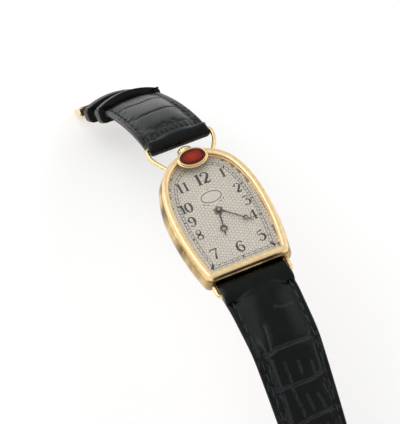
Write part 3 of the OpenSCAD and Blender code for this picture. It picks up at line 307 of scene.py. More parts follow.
# %% Enamel and crystal finishes
CLOUD_MM = 1.11
enamel = new_finish("red_glass_enamel")
enamel_place = add(enamel, "ShaderNodeTexCoord").outputs["Object"]
enamel_low, enamel_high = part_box("badge_enamel")
oval_l, oval_w, _ = (enamel_high - enamel_low) / 2
off_middle = add(enamel, "ShaderNodeVectorMath",
                 {0: enamel_place, 1: (enamel_low + enamel_high) / 2}, operation="SUBTRACT")
in_oval = add(enamel, "ShaderNodeVectorMath",
              {0: off_middle.outputs["Vector"], 1: (oval_l, oval_w, 1.0)}, operation="DIVIDE")
to_rim = add(enamel, "ShaderNodeVectorMath", {0: in_oval.outputs["Vector"]}, operation="LENGTH")
enamel_cloud = add(enamel, "ShaderNodeTexNoise",
                   {"Vector": enamel_place, "Scale": 1 / (CLOUD_MM * MM), "Detail": 3.0})
pooled = add(enamel, "ShaderNodeMath",
             {0: enamel_cloud.outputs["Fac"], 1: 0.4, 2: to_rim.outputs["Value"]},
             operation="MULTIPLY_ADD")
enamel_tone = ramp(enamel, pooled.outputs[0],
                   [(0.3, "#9E2A12"), (0.85, "#7E180A"), (1.0, "#4A0905")])
# Worn glass enamel: a soft sheen of its own under a thin, sharper coat.
enamel_shader = add(enamel, "ShaderNodeBsdfPrincipled",
                    {"Base Color": enamel_tone, "Roughness": 0.35, "Specular IOR Level": 0.2,
                     "Coat Weight": 0.12, "Coat Roughness": 0.05})
surface(enamel, enamel_shader.outputs["BSDF"])

# Polished mineral glass mirrors 4% of the light face on, and nearly all of it edge on.
FACE_ON = 0.04
crystal_glass = new_finish("mineral_crystal")
clear = add(crystal_glass, "ShaderNodeBsdfTransparent", {"Color": linear("#FFFFFF")})
gloss = add(crystal_glass, "ShaderNodeBsdfAnisotropic",
            {"Color": linear("#FFFFFF"), "Roughness": 0.03})
facing = add(crystal_glass, "ShaderNodeLayerWeight", {"Blend": 0.5}).outputs["Facing"]
grazing = add(crystal_glass, "ShaderNodeMath", {0: facing, 1: 5.0}, operation="POWER")
mirrored = add(crystal_glass, "ShaderNodeMath",
               {0: grazing.outputs[0], 1: 1 - FACE_ON, 2: FACE_ON}, operation="MULTIPLY_ADD")
glass_mix = add(crystal_glass, "ShaderNodeMixShader",
                {0: mirrored.outputs[0], 1: clear.outputs[0], 2: gloss.outputs[0]})
surface(crystal_glass, glass_mix.outputs[0])
print("enamel oval", round(2 * oval_l / MM, 2), "by", round(2 * oval_w / MM, 2), "mm")

# %% [markdown]
# ## Leather
# The strap is calf leather embossed with a crocodile grain, dyed black and glazed. Deep creases
# keep less glaze, so they are rougher, and raised places shine. An image texture could draw it,
# but nodes keep it sharp at any size. The fine grain lies along the strap, so it reads the strap's
# own UV map, which is in millimetres, and the large creases are in the mesh and in an attribute.

# %% Leather finishes
WRINKLE_MM, BLOTCH_MM, PORE_DEEP_MM = 0.625, 2.86, 0.12


def leather(name, low, high, rough_low, rough_high, pore_mm=0.35, crease=True):
    """Dyed leather: pores and fine wrinkles as bump, blotches of dye, and a painted highlight on
    crease sides.
    """
    finish = new_finish(name)
    flat = add(finish, "ShaderNodeUVMap", uv_map="strap_mm").outputs["UV"]
    pores = add(finish, "ShaderNodeTexVoronoi", {"Vector": flat, "Scale": 1 / pore_mm}, feature="F1")
    wrinkle = add(finish, "ShaderNodeTexNoise",
                  {"Vector": flat, "Scale": 1 / WRINKLE_MM, "Detail": 6.0, "Roughness": 0.62})
    blotch = add(finish, "ShaderNodeTexNoise",
                 {"Vector": flat, "Scale": 1 / BLOTCH_MM, "Detail": 2.0})
    tone = ramp(finish, blotch.outputs["Fac"], [(0.35, low), (0.7, high)])
    height = add(finish, "ShaderNodeMath",
                 {0: pores.outputs["Distance"], 1: 0.35, 2: wrinkle.outputs["Fac"]},
                 operation="MULTIPLY_ADD")
    bump = add(finish, "ShaderNodeBump",
               {"Height": height.outputs[0], "Strength": 0.35, "Distance": PORE_DEEP_MM * MM})
    rough = add(finish, "ShaderNodeMapRange",
                {"Value": wrinkle.outputs["Fac"], "From Min": 0.3, "From Max": 0.7,
                 "To Min": rough_low, "To Max": rough_high}).outputs["Result"]
    if crease:
        # The crease's depth goes from 0 to 1; halfway down is its side, which is painted a lighter
        # grey as a highlight.
        deep = add(finish, "ShaderNodeAttribute", attribute_name="crease").outputs["Fac"]
        rough = add(finish, "ShaderNodeMath", {0: deep, 1: 0.3, 2: rough},
                    operation="MULTIPLY_ADD").outputs[0]
        side = add(finish, "ShaderNodeMath", {0: deep, 1: 0.5}, operation="PINGPONG").outputs[0]
        painted_crease_highlight = add(finish, "ShaderNodeMath", {0: side, 1: wrinkle.outputs["Fac"]},
                     operation="MULTIPLY").outputs[0]
        tone = add(finish, "ShaderNodeMix", {0: painted_crease_highlight, 6: tone, 7: linear("#5A6062")},
                   data_type="RGBA").outputs[2]
    shader = add(finish, "ShaderNodeBsdfPrincipled",
                 {"Base Color": tone, "Roughness": rough, "Normal": bump.outputs["Normal"],
                  "Specular IOR Level": 0.16})
    return surface(finish, shader.outputs["BSDF"])


# Glazed crocodile-grain calf: a deep, faintly green black with a wet shine on the raised scales.
croc_leather = leather("glazed_croc_grain_leather", "#050808", "#0B0F0F",
                       rough_low=0.2, rough_high=0.36)
# The keepers are cut from smooth calf, which has the same black and a softer shine.
keeper_leather = leather("smooth_black_leather", "#060707", "#0C0E0E",
                         rough_low=0.34, rough_high=0.5, crease=False)
# The lining is unglazed calf, dyed dark brown and matt, with wider pores.
lining_leather = leather("dark_calf_lining", "#1C1613", "#2B221C",
                         rough_low=0.6, rough_high=0.75, pore_mm=0.5, crease=False)
print("leathers:", [finish.name for finish in (croc_leather, keeper_leather, lining_leather)])

# %% [markdown]
# ## The case outline
# The front is an arch on long curved sides. Each side is three arcs that meet smoothly, with a
# small corner at the foot. The outline could be a bezier curve, but arcs stay smooth and keep
# their wall when they are drawn smaller: an inset arc has the same centre. So every metal ring
# of the case is this outline, drawn at some inset for each point of its section.

# %% Outline and rings
HALF_CASE, WIDEST_Y, FOOT = 11.8, -1.9, 16.95
SIDE_R, SHOULDER_R, CORNER_R, LEAST_CORNER = 62.5, 28.5, 1.2, 0.2
SIDE_TURN, SHOULDER_TURN = math.radians(3.5), math.radians(17.2)
SIDE_C = Vector((HALF_CASE - SIDE_R, WIDEST_Y))
SHOULDER_C = SIDE_C + (SIDE_R - SHOULDER_R) * Vector((math.cos(SIDE_TURN), math.sin(SIDE_TURN)))
ARCH_A = SIDE_TURN + SHOULDER_TURN
ARCH_R = SHOULDER_R + SHOULDER_C.x / math.cos(ARCH_A)
ARCH_Y = SHOULDER_C.y + (SHOULDER_R - ARCH_R) * math.sin(ARCH_A)
CASE_TOP = ARCH_Y + ARCH_R


def arc(centre, radius, start, end, steps, first=0):
    """Points of an arc from one angle to another."""
    return [centre + radius * Vector((math.cos(a), math.sin(a)))
            for a in (start + (end - start) * k / steps for k in range(first, steps + 1))]


def case_outline(inset):
    """The closed outline, this far inside the case's own."""
    r = max(CORNER_R - inset, LEAST_CORNER)
    y = -FOOT + inset + r
    corner = Vector((SIDE_C.x + math.sqrt((SIDE_R - inset - r) ** 2 - (y - SIDE_C.y) ** 2), y))
    low = math.atan2(corner.y - SIDE_C.y, corner.x - SIDE_C.x)
    half = (arc(corner, r, -math.pi / 2, low, 10)
            + arc(SIDE_C, SIDE_R - inset, low, SIDE_TURN, 30, 1)
            + arc(SHOULDER_C, SHOULDER_R - inset, SIDE_TURN, ARCH_A, 16, 1)
            + arc(Vector((0, ARCH_Y)), ARCH_R - inset, ARCH_A, math.pi / 2, 36, 1))
    return half + [Vector((-p.x, p.y)) for p in half[-2::-1]]


def case_ring(section, closed=True):
    """A grid wrapped round the outline and along the section; an open section is capped."""
    rings = section + section[:1] if closed else section
    outlines = [case_outline(inset) for inset, _ in rings]
    n, m = len(outlines[0]), len(rings) - 1
    bm = bmesh.new()
    for v in bmesh.ops.create_grid(bm, x_segments=n, y_segments=m, size=1)["verts"]:
        k, r = round((v.co.x + 1) / 2 * n) % n, round((v.co.y + 1) / 2 * m)
        v.co = (*outlines[r][k], rings[r][1])
    bmesh.ops.remove_doubles(bm, verts=bm.verts, dist=WELD)
    if not closed:
        bmesh.ops.edgeloop_fill(bm, edges=[e for e in bm.edges if e.is_boundary])
    return bm


def rounded(points, radius, steps=4):
    """Rounds the corners of a closed section, as a buffing wheel does."""
    made = []
    for k, here in enumerate(points):
        before, after = Vector(points[k - 1]), Vector(points[(k + 1) % len(points)])
        here = Vector(here)
        one, two = (before - here), (after - here)
        cut = min(radius, one.length * 0.45, two.length * 0.45)
        start, end = here + one.normalized() * cut, here + two.normalized() * cut
        for t in (s / steps for s in range(steps + 1)):
            made.append(tuple((1 - t) ** 2 * start + 2 * t * (1 - t) * here + t * t * end))
    return made


print("case from", -FOOT, "to", round(CASE_TOP, 2))

# %% [markdown]
# ## Metal of the case
# The bezel is a softly rounded frame. The band under it bulges a little, so a seam shows between
# the two. The ring on the dial is a thin polished wall that the crystal sits on. Each could be a
# solid with bevelled edges. Here each is a section of (inset, height) points wrapped round the
# outline, because the section then says exactly how the light rolls over the metal.

# %% Bezel
BEZEL_TURN = 0.14
bezel_section = [(0.04, 4.4), (0.0, 4.5), (0.0, 5.3), (0.08, 5.7), (0.3, 5.94), (0.6, 6.0),
                 (1.1, 5.99), (1.36, 5.93), (1.55, 5.7), (1.55, 5.66), (1.2, 5.66), (1.2, 4.4)]
bm = case_ring(rounded(bezel_section, BEZEL_TURN))
finish_piece("bezel_polished", bm, "case", bezel_gold, ["bezel"], sharp=50)

# %% Band and back
SWELL, SWELL_TOP, SWELL_H, SWELL_POWER = 0.044, 4.35, 1.9, 0.7
BAND_TURN = 0.12


def swell_sides(bm):
    """The band swells to the sides only, most of all low down."""
    for v in bm.verts:
        v.co.x *= 1 + SWELL * min(max((SWELL_TOP - v.co.z) / SWELL_H, 0), 1) ** SWELL_POWER


band_section = [(0.12, 0.6), (-0.21, 0.95), (-0.33, 1.5), (-0.35, 2.3), (-0.35, 2.9), (-0.3, 3.5),
                (-0.18, 4.1), (0.0, 4.33), (0.1, 4.4), (1.15, 4.4), (1.15, 3.75), (1.7, 3.75),
                (1.7, 0.6)]
bm = case_ring(rounded(band_section, BAND_TURN))
swell_sides(bm)
finish_piece("band_polished", bm, "case", band_gold_painted_reflections, ["mid_case"], sharp=50)

back_section = [(1.7, 0.6), (0.28, 0.6), (0.26, 0.3), (0.3, 0.2), (0.4, 0.1), (0.6, 0.03),
                (0.85, 0.0)]
bm = case_ring(back_section, closed=False)
swell_sides(bm)
finish_piece("back_polished", bm, "case", buffed_gold, ["case_back"], sharp=60)

# %% Dial ring and crystal
RING_TURN = 0.05
ring_section = [(1.25, 4.07), (1.25, 4.85), (1.5, 4.85), (1.6, 4.75), (1.6, 4.07)]
bm = case_ring(rounded(ring_section, RING_TURN))
finish_piece("dial_ring_polished", bm, "case", bezel_gold, ["dial_ring"])

crystal_section = [(1.25, 4.9), (1.25, 5.65), (1.6, 5.65), (1.75, 5.74), (2.1, 5.79), (2.6, 5.84),
                   (3.4, 5.885), (4.4, 5.915), (5.6, 5.938), (7.0, 5.95)]
bm = case_ring(crystal_section, closed=False)
finish_piece("crystal_domed", bm, "case", crystal_glass, ["crystal"], sharp=40)

# %% [markdown]
# ## Badge
# The badge is an oval gold setting on the arch, filled with plain enamel that stands slightly
# domed. A scaled sphere would have the wrong rim, so each of the two is a stack of ovals, one for
# each level of its section, with a band of faces bridged between each two.

# %% Badge
BADGE_W, BADGE_OVERHANG = 5.0, 0.15
BADGE_Y = CASE_TOP - BADGE_W / 2 + BADGE_OVERHANG


def oval_rings(levels, y=BADGE_Y, segments=72):
    """A stack of ovals, one (length, width, z) per level, bridged and closed."""
    bm = bmesh.new()
    loops = []
    for length, width, z in levels:
        made = bmesh.ops.create_circle(bm, segments=segments, radius=1)["verts"]
        bmesh.ops.transform(bm, verts=made, matrix=Matrix.Translation((0, y, z))
                            @ Matrix.Diagonal((length / 2, width / 2, 1, 1)))
        loops.append([e for e in bm.edges if all(v in made for v in e.verts)])
    for one, other in zip(loops, loops[1:]):
        bmesh.ops.bridge_loops(bm, edges=one + other)
    bmesh.ops.contextual_create(bm, geom=loops[0])
    bmesh.ops.contextual_create(bm, geom=loops[-1])
    return bm


# A wide, low ledge lies on the bezel; on it stands the setting's rim, which rolls over inwards.
setting_levels = [(7.4, 5.25, 6.0), (7.6, 5.45, 6.05), (7.6, 5.45, 6.16), (7.5, 5.35, 6.24),
                  (7.14, 5.04, 6.27), (7.1, 5.0, 6.32), (7.1, 5.0, 6.5), (7.04, 4.94, 6.62),
                  (6.9, 4.8, 6.71), (6.7, 4.6, 6.75), (6.5, 4.4, 6.73), (6.36, 4.26, 6.66),
                  (6.27, 4.17, 6.55), (6.26, 4.16, 6.35)]
enamel_levels = [(6.24, 4.14, 6.36), (6.24, 4.14, 6.62), (6.0, 3.9, 6.68), (5.4, 3.5, 6.73),
                 (4.4, 2.8, 6.77), (3.0, 1.9, 6.8), (1.4, 0.9, 6.81)]
bm = oval_rings(setting_levels)
finish_piece("badge_setting", bm, "case", wire_gold, ["badge_mount"], sharp=50)
bm = oval_rings(enamel_levels)
finish_piece("badge_glass", bm, "case", enamel, ["badge_enamel"], sharp=60)

# %% [markdown]
# ## Crown
# The crown winds the watch. It is a small gold cap with a domed end and ribs round its side, so
# that a finger can turn it. A lathe and a milling cutter make the real one. Here spin turns its
# profile round, as the lathe does, and the ribs are pressed into the spun mesh by a cosine.

# %% Crown
BAND_BULGE, CROWN_GAP, STEM_Z = 0.35, 0.12, 2.25
CROWN_R, RIBS, RIB_DEEP, RIB_TOP = 2.0, 24, 0.035, 1.8
profile = [(1.3, 0.0), (CROWN_R, 0.0), (CROWN_R, 1.7), (1.92, 2.05), (1.7, 2.35), (1.35, 2.57),
           (0.9, 2.7), (0.45, 2.76), (0.0, 2.78)]
bm = bmesh.new()
verts = [bm.verts.new((r, 0, h)) for r, h in profile]
line = [bm.edges.new(pair) for pair in zip(verts, verts[1:])]
bmesh.ops.spin(bm, geom=verts + line, cent=(0, 0, 0), axis=(0, 0, 1), angle=2 * math.pi,
               steps=RIBS * 6, use_merge=True)
for v in bm.verts:
    if v.co.xy.length > CROWN_R - 0.02 and v.co.z < RIB_TOP:
        a = math.atan2(v.co.y, v.co.x)
        v.co.xy *= 1 - RIB_DEEP * (0.5 + 0.5 * math.cos(RIBS * a)) ** 2
bmesh.ops.remove_doubles(bm, verts=bm.verts, dist=WELD)
bmesh.ops.holes_fill(bm, edges=bm.edges)
crown_place = Matrix.Translation((0, CASE_TOP + BAND_BULGE + CROWN_GAP, STEM_Z))
bmesh.ops.transform(bm, verts=bm.verts, matrix=crown_place @ Matrix.Rotation(-math.pi / 2, 4, "X"))
finish_piece("crown_ribbed", bm, "crown_and_stem", wire_gold, ["crown"], sharp=40)

# %% [markdown]
# ## Wire lugs
# Each end of the case holds a bow of drawn gold wire. A tube could be extruded along it ring by
# ring. A curve with a round bevel is the natural way to draw wire, and the curve is made a mesh so
# that the piece sits at the origin.

# %% Wire lugs
WIRE_R, BEND_STEPS = 0.5, 12


def wire_bow(name, points, bends, node):
    """A round wire through the points, with each inner corner turned on its own radius."""
    path = [Vector(points[0])]
    for before, here, after, bend in zip(points, points[1:], points[2:], bends):
        before, here, after = Vector(before), Vector(here), Vector(after)
        one, two = (before - here).normalized(), (after - here).normalized()
        half = one.angle(two) / 2
        cut = bend / math.tan(half)
        centre = here + (one + two).normalized() * bend / math.sin(half)
        start = (here + one * cut - centre).normalized()
        end = (here + two * cut - centre).normalized()
        path += [centre + start.slerp(end, k / BEND_STEPS) * bend for k in range(BEND_STEPS + 1)]
    path.append(Vector(points[-1]))
    curve = bpy.data.curves.new(name, "CURVE")
    curve.dimensions = "3D"
    curve.bevel_depth = WIRE_R
    curve.bevel_resolution = 6
    curve.use_fill_caps = True
    line = curve.splines.new("POLY")
    line.points.add(len(path) - 1)
    for point, place in zip(line.points, path):
        point.co = (*place, 1)
    drawn = bpy.data.objects.new(name + "_line", curve)
    mesh = bpy.data.meshes.new_from_object(drawn)
    bm = bmesh.new()
    bm.from_mesh(mesh)
    bpy.data.objects.remove(drawn)
    return finish_piece(name, bm, "case", wire_gold, [node], sharp=60)


# The bars that carry the strap, how far out the wire's legs stand, and where they enter the case.
WIRE_Z, UPPER_BAR, LOWER_BAR = 2.3, CASE_TOP + 6.2, -FOOT - 3.3
UPPER_LEG, LOWER_LEG = 8.3, 9.2
SWEEP_Y, SWEEP_R, CORNER_BEND, LOWER_BEND = CASE_TOP + 3.3, 4.5, 0.7, 0.85
UPPER_ROOT, LOWER_ROOT_Y = (4.9, CASE_TOP - 2.4), 1.25 - FOOT
upper_half = [UPPER_ROOT, (UPPER_LEG, SWEEP_Y), (UPPER_LEG, UPPER_BAR)]
lower_half = [(LOWER_LEG, LOWER_ROOT_Y), (LOWER_LEG, LOWER_BAR)]


def both_sides(half):
    """The whole bow from its right half: up the left leg and down the right one."""
    return [(-x, y, WIRE_Z) for x, y in half] + [(x, y, WIRE_Z) for x, y in reversed(half)]


wire_bow("upper_wire_bow", both_sides(upper_half), (SWEEP_R, CORNER_BEND, CORNER_BEND, SWEEP_R),
         "upper_wire_lug")
wire_bow("lower_wire_bow", both_sides(lower_half), (LOWER_BEND, LOWER_BEND), "lower_wire_lug")

# %% [markdown]
# ## Dial
# A silvered plate is stamped with rows of small six-sided cells. Each cell is a low pillow, so
# it catches the light, and the groove round it stays darker; besides, the plate is painted darker
# as shade and the cells lighter as light. A bump pattern could stand for them, but it goes flat
# from the side. So one cell is modelled and copied into a single mesh, wherever it lies inside
# the dial ring, and clear of the hands' hub and of the cartouche.

# %% Dial plate and one cell
DIAL_Z, CELL = 4.05, 0.865
GROOVE, CELL_STEP, CELL_SLOPE = 0.04, 0.03, 0.1
bm = case_ring([(1.2, 3.75), (1.2, DIAL_Z)], closed=False)
# The plate takes the silver painted darker, as shade in the grooves.
finish_piece("dial_plate", bm, "case", silver_painted_shade, ["dial"])

cell = bmesh.new()
bmesh.ops.create_circle(cell, segments=6, radius=CELL / math.sqrt(3) - GROOVE, cap_ends=True)
top = bmesh.ops.extrude_face_region(cell, geom=cell.faces[:])["geom"]
bmesh.ops.translate(cell, vec=(0, 0, CELL_STEP),
                    verts=[v for v in top if isinstance(v, bmesh.types.BMVert)])
bmesh.ops.inset_region(cell, faces=[f for f in top if isinstance(f, bmesh.types.BMFace)],
                       thickness=CELL_SLOPE, depth=CELL_STEP, use_even_offset=True)
cell_mesh = bpy.data.meshes.new("cell")
cell.to_mesh(cell_mesh)
cell.free()
print("one cell:", len(cell_mesh.polygons), "faces")

# %% All cells
CARTOUCHE = (0.0, 4.2, 5.0, 3.0)
CARTOUCHE_CLEAR, HUB_R, CELLS_INSET = 0.5, 1.0, 1.7
ROWS, COLUMNS = range(-42, 43), range(-9, 10)  # more than the dial holds


def inside(x, y, inset):
    """Whether the place lies inside the outline: a ray from it crosses the edge an odd time."""
    edge = case_outline(inset)
    hit = False
    for one, two in zip(edge, edge[1:] + edge[:1]):
        if (one.y > y) != (two.y > y) and x < (two.x - one.x) * (y - one.y) / (two.y - one.y) + one.x:
            hit = not hit
    return hit


def clear_of_middle(x, y):
    """Whether a cell there would miss the hands' hub and the cartouche."""
    cx, cy, length, width = CARTOUCHE
    across = (x - cx) / (length / 2 + CARTOUCHE_CLEAR)
    upward = (y - cy) / (width / 2 + CARTOUCHE_CLEAR)
    return across ** 2 + upward ** 2 >= 1 and math.hypot(x, y) >= HUB_R


bm = bmesh.new()
count = 0
for row in ROWS:
    for column in COLUMNS:
        x = (column + 0.5 * (row % 2)) * CELL * math.sqrt(3)
        y = row * CELL / 2
        if clear_of_middle(x, y) and inside(x, y, CELLS_INSET):
            start = len(bm.verts)
            bm.from_mesh(cell_mesh)
            bm.verts.ensure_lookup_table()
            bmesh.ops.translate(bm, vec=(x, y, DIAL_Z), verts=bm.verts[start:])
            count += 1
# The cells take the silver painted lighter, as the light on them.
finish_piece("dial_cells", bm, "case", silver_painted_light, sharp=20, weld=False)
print("cells:", count)

# %% [markdown]
# ## Minute track
# Two printed lines follow the case's outline, with a tick for every minute and a block for every
# fifth. Print could be an image on the dial, but it would blur close up. So each stroke is a thin
# ribbon of ink with its own width along its length, and it lies just over the cells.

# %% Minute track
PRINT_Z, PRINT_T = DIAL_Z + 0.065, 0.02
OUTER_TRACK, INNER_TRACK = 2.95, 3.6
LINE_W, TICK_W, BLOCK_W = 0.1, 0.11, 0.34


def ribbon(bm, points, widths):
    """A printed stroke: a strip of quads along the points, as wide as the ink is there."""
    count = len(points)
    made = bmesh.ops.create_grid(bm, x_segments=count - 1, y_segments=1, size=1)["verts"]
    for v in made:
        k = round((v.co.x + 1) / 2 * (count - 1))
        here = Vector(points[k])
        along = (Vector(points[min(k + 1, count - 1)]) - Vector(points[max(k - 1, 0)])).normalized()
        side = Vector((-along.y, along.x)) * (widths[k] / 2) * (1 if v.co.y > 0 else -1)
        v.co = (*(here + side), PRINT_Z)
    faces = list({f for v in made for f in v.link_faces})
    under = bmesh.ops.extrude_face_region(bm, geom=faces)["geom"]
    bmesh.ops.translate(bm, vec=(0, 0, -PRINT_T),
                        verts=[v for v in under if isinstance(v, bmesh.types.BMVert)])


def on_outline(inset, degrees):
    """The point of the outline that a clock angle from 12 meets."""
    a = math.radians(90 - degrees)
    way = Vector((math.cos(a), math.sin(a)))
    edge = case_outline(inset)
    for one, two in zip(edge, edge[1:] + edge[:1]):
        span = two - one
        cross = way.x * span.y - way.y * span.x
        if abs(cross) < 1e-9:
            continue
        t = (one.x * span.y - one.y * span.x) / cross
        u = (one.x * way.y - one.y * way.x) / cross
        if t > 0 and -1e-6 <= u <= 1 + 1e-6:
            return way * t


bm = bmesh.new()
for inset in (OUTER_TRACK, INNER_TRACK):
    line = case_outline(inset)
    ribbon(bm, line + line[:1], [LINE_W] * (len(line) + 1))
for minute in range(60):
    one, two = on_outline(OUTER_TRACK, minute * 6), on_outline(INNER_TRACK, minute * 6)
    wide = TICK_W if minute % 5 else BLOCK_W
    ribbon(bm, [one, two], [wide, wide])
# Each lower corner has a short wedge that points to the middle.
for side in (-1, 1):
    ribbon(bm, [Vector((side * 8.0, -13.85)), Vector((side * 7.25, -13.1))], [0.9, 0.25])
finish_piece("minute_track", bm, "case", ink, weld=False)

# %% [markdown]
# ## Numerals
# The numerals are bold figures with thick and hairline strokes and small slab feet. A text object
# needs a font, and none that comes with Blender has such figures. So each figure is a few strokes
# on a square of side 1, and every stroke has its own width along its length.

# %% Figures
def curve_points(points, steps=8):
    """A smooth line through the points."""
    p = [Vector(points[0])] + [Vector(q) for q in points] + [Vector(points[-1])]
    made = []
    for a, b, c, d in zip(p, p[1:], p[2:], p[3:]):
        for t in (k / steps for k in range(steps)):
            made.append(0.5 * (2 * b + (c - a) * t + (2 * a - 5 * b + 4 * c - d) * t * t
                               + (3 * b - a - 3 * c + d) * t ** 3))
    return made + [p[-1]]


THIN, MID, FAT = 0.07, 0.14, 0.24
ROUND = [(0.5 + 0.34 * math.sin(a), 0.5 + 0.5 * math.cos(a))
         for a in (k * math.pi / 8 for k in range(17))]
HALF_ROUND = [THIN, MID, FAT, FAT, FAT, FAT, FAT, MID]
FIGURES = {
    "0": [(ROUND, HALF_ROUND + HALF_ROUND + [THIN])],
    "1": [([(0.5, 0.02), (0.5, 0.98)], [FAT, FAT]), ([(0.28, 0.03), (0.72, 0.03)], [THIN, THIN]),
          ([(0.28, 0.92), (0.5, 0.97)], [THIN, THIN])],
    "2": [([(0.2, 0.72), (0.24, 0.9), (0.48, 1.0), (0.74, 0.86), (0.76, 0.64), (0.56, 0.4),
            (0.3, 0.16), (0.2, 0.04)],
           [FAT, MID, THIN, MID, FAT, FAT, MID, THIN]),
          ([(0.2, 0.06), (0.45, 0.1), (0.66, 0.03), (0.82, 0.2)], [MID, FAT, MID, THIN])],
    "3": [([(0.2, 0.96), (0.8, 0.96), (0.42, 0.58)], [MID, THIN, THIN]),
          ([(0.42, 0.58), (0.7, 0.56), (0.82, 0.32), (0.66, 0.06), (0.4, 0.0), (0.18, 0.14)],
           [THIN, MID, FAT, MID, THIN, FAT])],
    "4": [([(0.62, 0.98), (0.14, 0.32), (0.88, 0.32)], [THIN, THIN, MID]),
          ([(0.64, 0.98), (0.64, 0.02)], [FAT, FAT]),
          ([(0.46, 0.03), (0.82, 0.03)], [THIN, THIN])],
    "5": [([(0.78, 0.95), (0.3, 0.93), (0.26, 0.56)], [MID, THIN, THIN]),
          ([(0.26, 0.56), (0.52, 0.64), (0.78, 0.5), (0.8, 0.24), (0.58, 0.02), (0.32, 0.04),
            (0.2, 0.18)],
           [THIN, MID, FAT, FAT, MID, THIN, FAT])],
    "6": [([(0.8, 0.86), (0.6, 1.0), (0.36, 0.9), (0.2, 0.6), (0.22, 0.24), (0.48, 0.0),
            (0.74, 0.1), (0.8, 0.32), (0.68, 0.54), (0.48, 0.58), (0.26, 0.42)],
           [FAT, THIN, MID, FAT, FAT, MID, MID, FAT, MID, THIN, THIN])],
    "7": [([(0.16, 0.8), (0.24, 0.97), (0.84, 0.95)], [THIN, MID, MID]),
          ([(0.84, 0.95), (0.6, 0.5), (0.46, 0.02)], [THIN, MID, FAT])],
    "8": [([(0.5, 0.54), (0.26, 0.72), (0.3, 0.94), (0.5, 1.0), (0.72, 0.92), (0.74, 0.72),
            (0.5, 0.54), (0.24, 0.36), (0.22, 0.12), (0.5, 0.0), (0.78, 0.12), (0.78, 0.36),
            (0.5, 0.54)],
           [FAT, MID, THIN, THIN, THIN, MID, FAT, MID, THIN, THIN, MID, MID, FAT])],
}
FIGURES["9"] = [([(1 - x, 1 - y) for x, y in FIGURES["6"][0][0]], FIGURES["6"][0][1])]
print("figures drawn:", len(FIGURES))

# %% Numerals on the dial
# Each numeral's middle and height. They lean towards the corners, so they lie on no circle.
NUMERALS = {"12": (0.05, 9.6, 3.1), "1": (5.2, 9.25, 2.6), "2": (6.7, 3.9, 2.5),
            "3": (7.1, -0.1, 2.5), "4": (6.8, -4.3, 2.6), "5": (6.1, -10.2, 2.8),
            "6": (0.45, -10.9, 2.8), "7": (-5.7, -10.4, 2.8), "8": (-6.8, -4.3, 2.5),
            "9": (-6.85, -0.3, 2.5), "10": (-6.75, 3.6, 2.5), "11": (-5.0, 9.15, 2.6)}
FIGURE_WIDE, FIGURE_STEP, STROKE = 0.86, 0.66, 0.85


def draw_figure(bm, figure, left, y, wide, tall):
    """Prints one figure, with its left edge and its middle height given."""
    for points, widths in FIGURES[figure]:
        straight = len(points) < 3 and widths[0] == widths[-1]
        line = points if straight else curve_points(points)
        places = np.linspace(0, len(widths) - 1, len(line))
        strokes = np.interp(places, range(len(widths)), widths) * tall * STROKE
        ribbon(bm, [(left + u * wide, y + (v - 0.5) * tall) for u, v in line], strokes)


bm = bmesh.new()
for numeral, (x, y, tall) in NUMERALS.items():
    wide = tall * FIGURE_WIDE
    for k, figure in enumerate(numeral):
        left = x - wide / 2 + wide * FIGURE_STEP * (k - (len(numeral) - 1) / 2)
        draw_figure(bm, figure, left, y, wide, tall)
finish_piece("numerals", bm, "case", ink, weld=False)

# %% [markdown]
# ## Cartouche
# The oval under twelve is a plain silvered field inside a printed line. It could be a mere gap in
# the cells, but then the line would run over their cut edges. So it is a low plate over those
# edges, and the line round it lies on even ground.

# %% Cartouche
PLATE_RIM, PLATE_STEP, CARTOUCHE_LINE = 1.2, 0.05, 0.19
_, cartouche_y, cartouche_l, cartouche_w = CARTOUCHE
plate_size = (cartouche_l + PLATE_RIM, cartouche_w + PLATE_RIM)
bm = oval_rings([(*plate_size, DIAL_Z), (*plate_size, DIAL_Z + PLATE_STEP)], cartouche_y)
# The cartouche plate takes the silver painted lighter, like the cells.
finish_piece("cartouche_plate", bm, "case", silver_painted_light)
bm = bmesh.new()
oval = [(cartouche_l / 2 * math.cos(a), cartouche_y + cartouche_w / 2 * math.sin(a))
        for a in (k * math.pi / 32 for k in range(65))]
ribbon(bm, oval, [CARTOUCHE_LINE] * len(oval))
finish_piece("cartouche_line", bm, "case", ink, weld=False)

# %% [markdown]
# ## Strap
# A strap half is a sleeve: outer leather over a padding that is thickest near the case, rolled
# round the wire at the lug, and closed by a lining. Cloth simulation suits a slack cushion, but
# this leather is glued and pressed, so its shape is known all along. It is a grid wrapped round
# the section, so its rows run along the strap and can be pressed down where a crease runs.
# First comes the run: a chain of (length, turn) arcs from the wire's bar, in millimetres and
# degrees, seen from the side.

# %% The strap's run
END_T, PAD_T, OUTER_T, LINING_T = 2.1, 3.7, 1.0, 0.85
TAIL_W, TAPER_L = 14, 62
FLARE_R, TAIL_FLAT, BEND_SLOPE = 30, 12, math.radians(44)
# nose: the roll round the wire, as its reach behind the bar and its height above and below it.
# narrow: how much narrower than the strap the roll is on each side.
UPPER = {"route": [[9, 15], [12, 8], [13, 5], [4, 8], [12, 0], [14, -6]],
         "bar": (UPPER_BAR, WIRE_Z), "slope": 18, "lug_w": 16.1, "side": 1,
         "nose": (1.75, 1.8, 1.7), "narrow": 0.42}
LOWER = {"route": [[3, 4], [4, 18], [6.5, 2], [6, 28], [14, 4]],
         "bar": (-LOWER_BAR, WIRE_Z), "slope": -12, "lug_w": 17.2, "side": -1,
         "nose": (2.85, 2.3, 1.85), "narrow": 0.06}


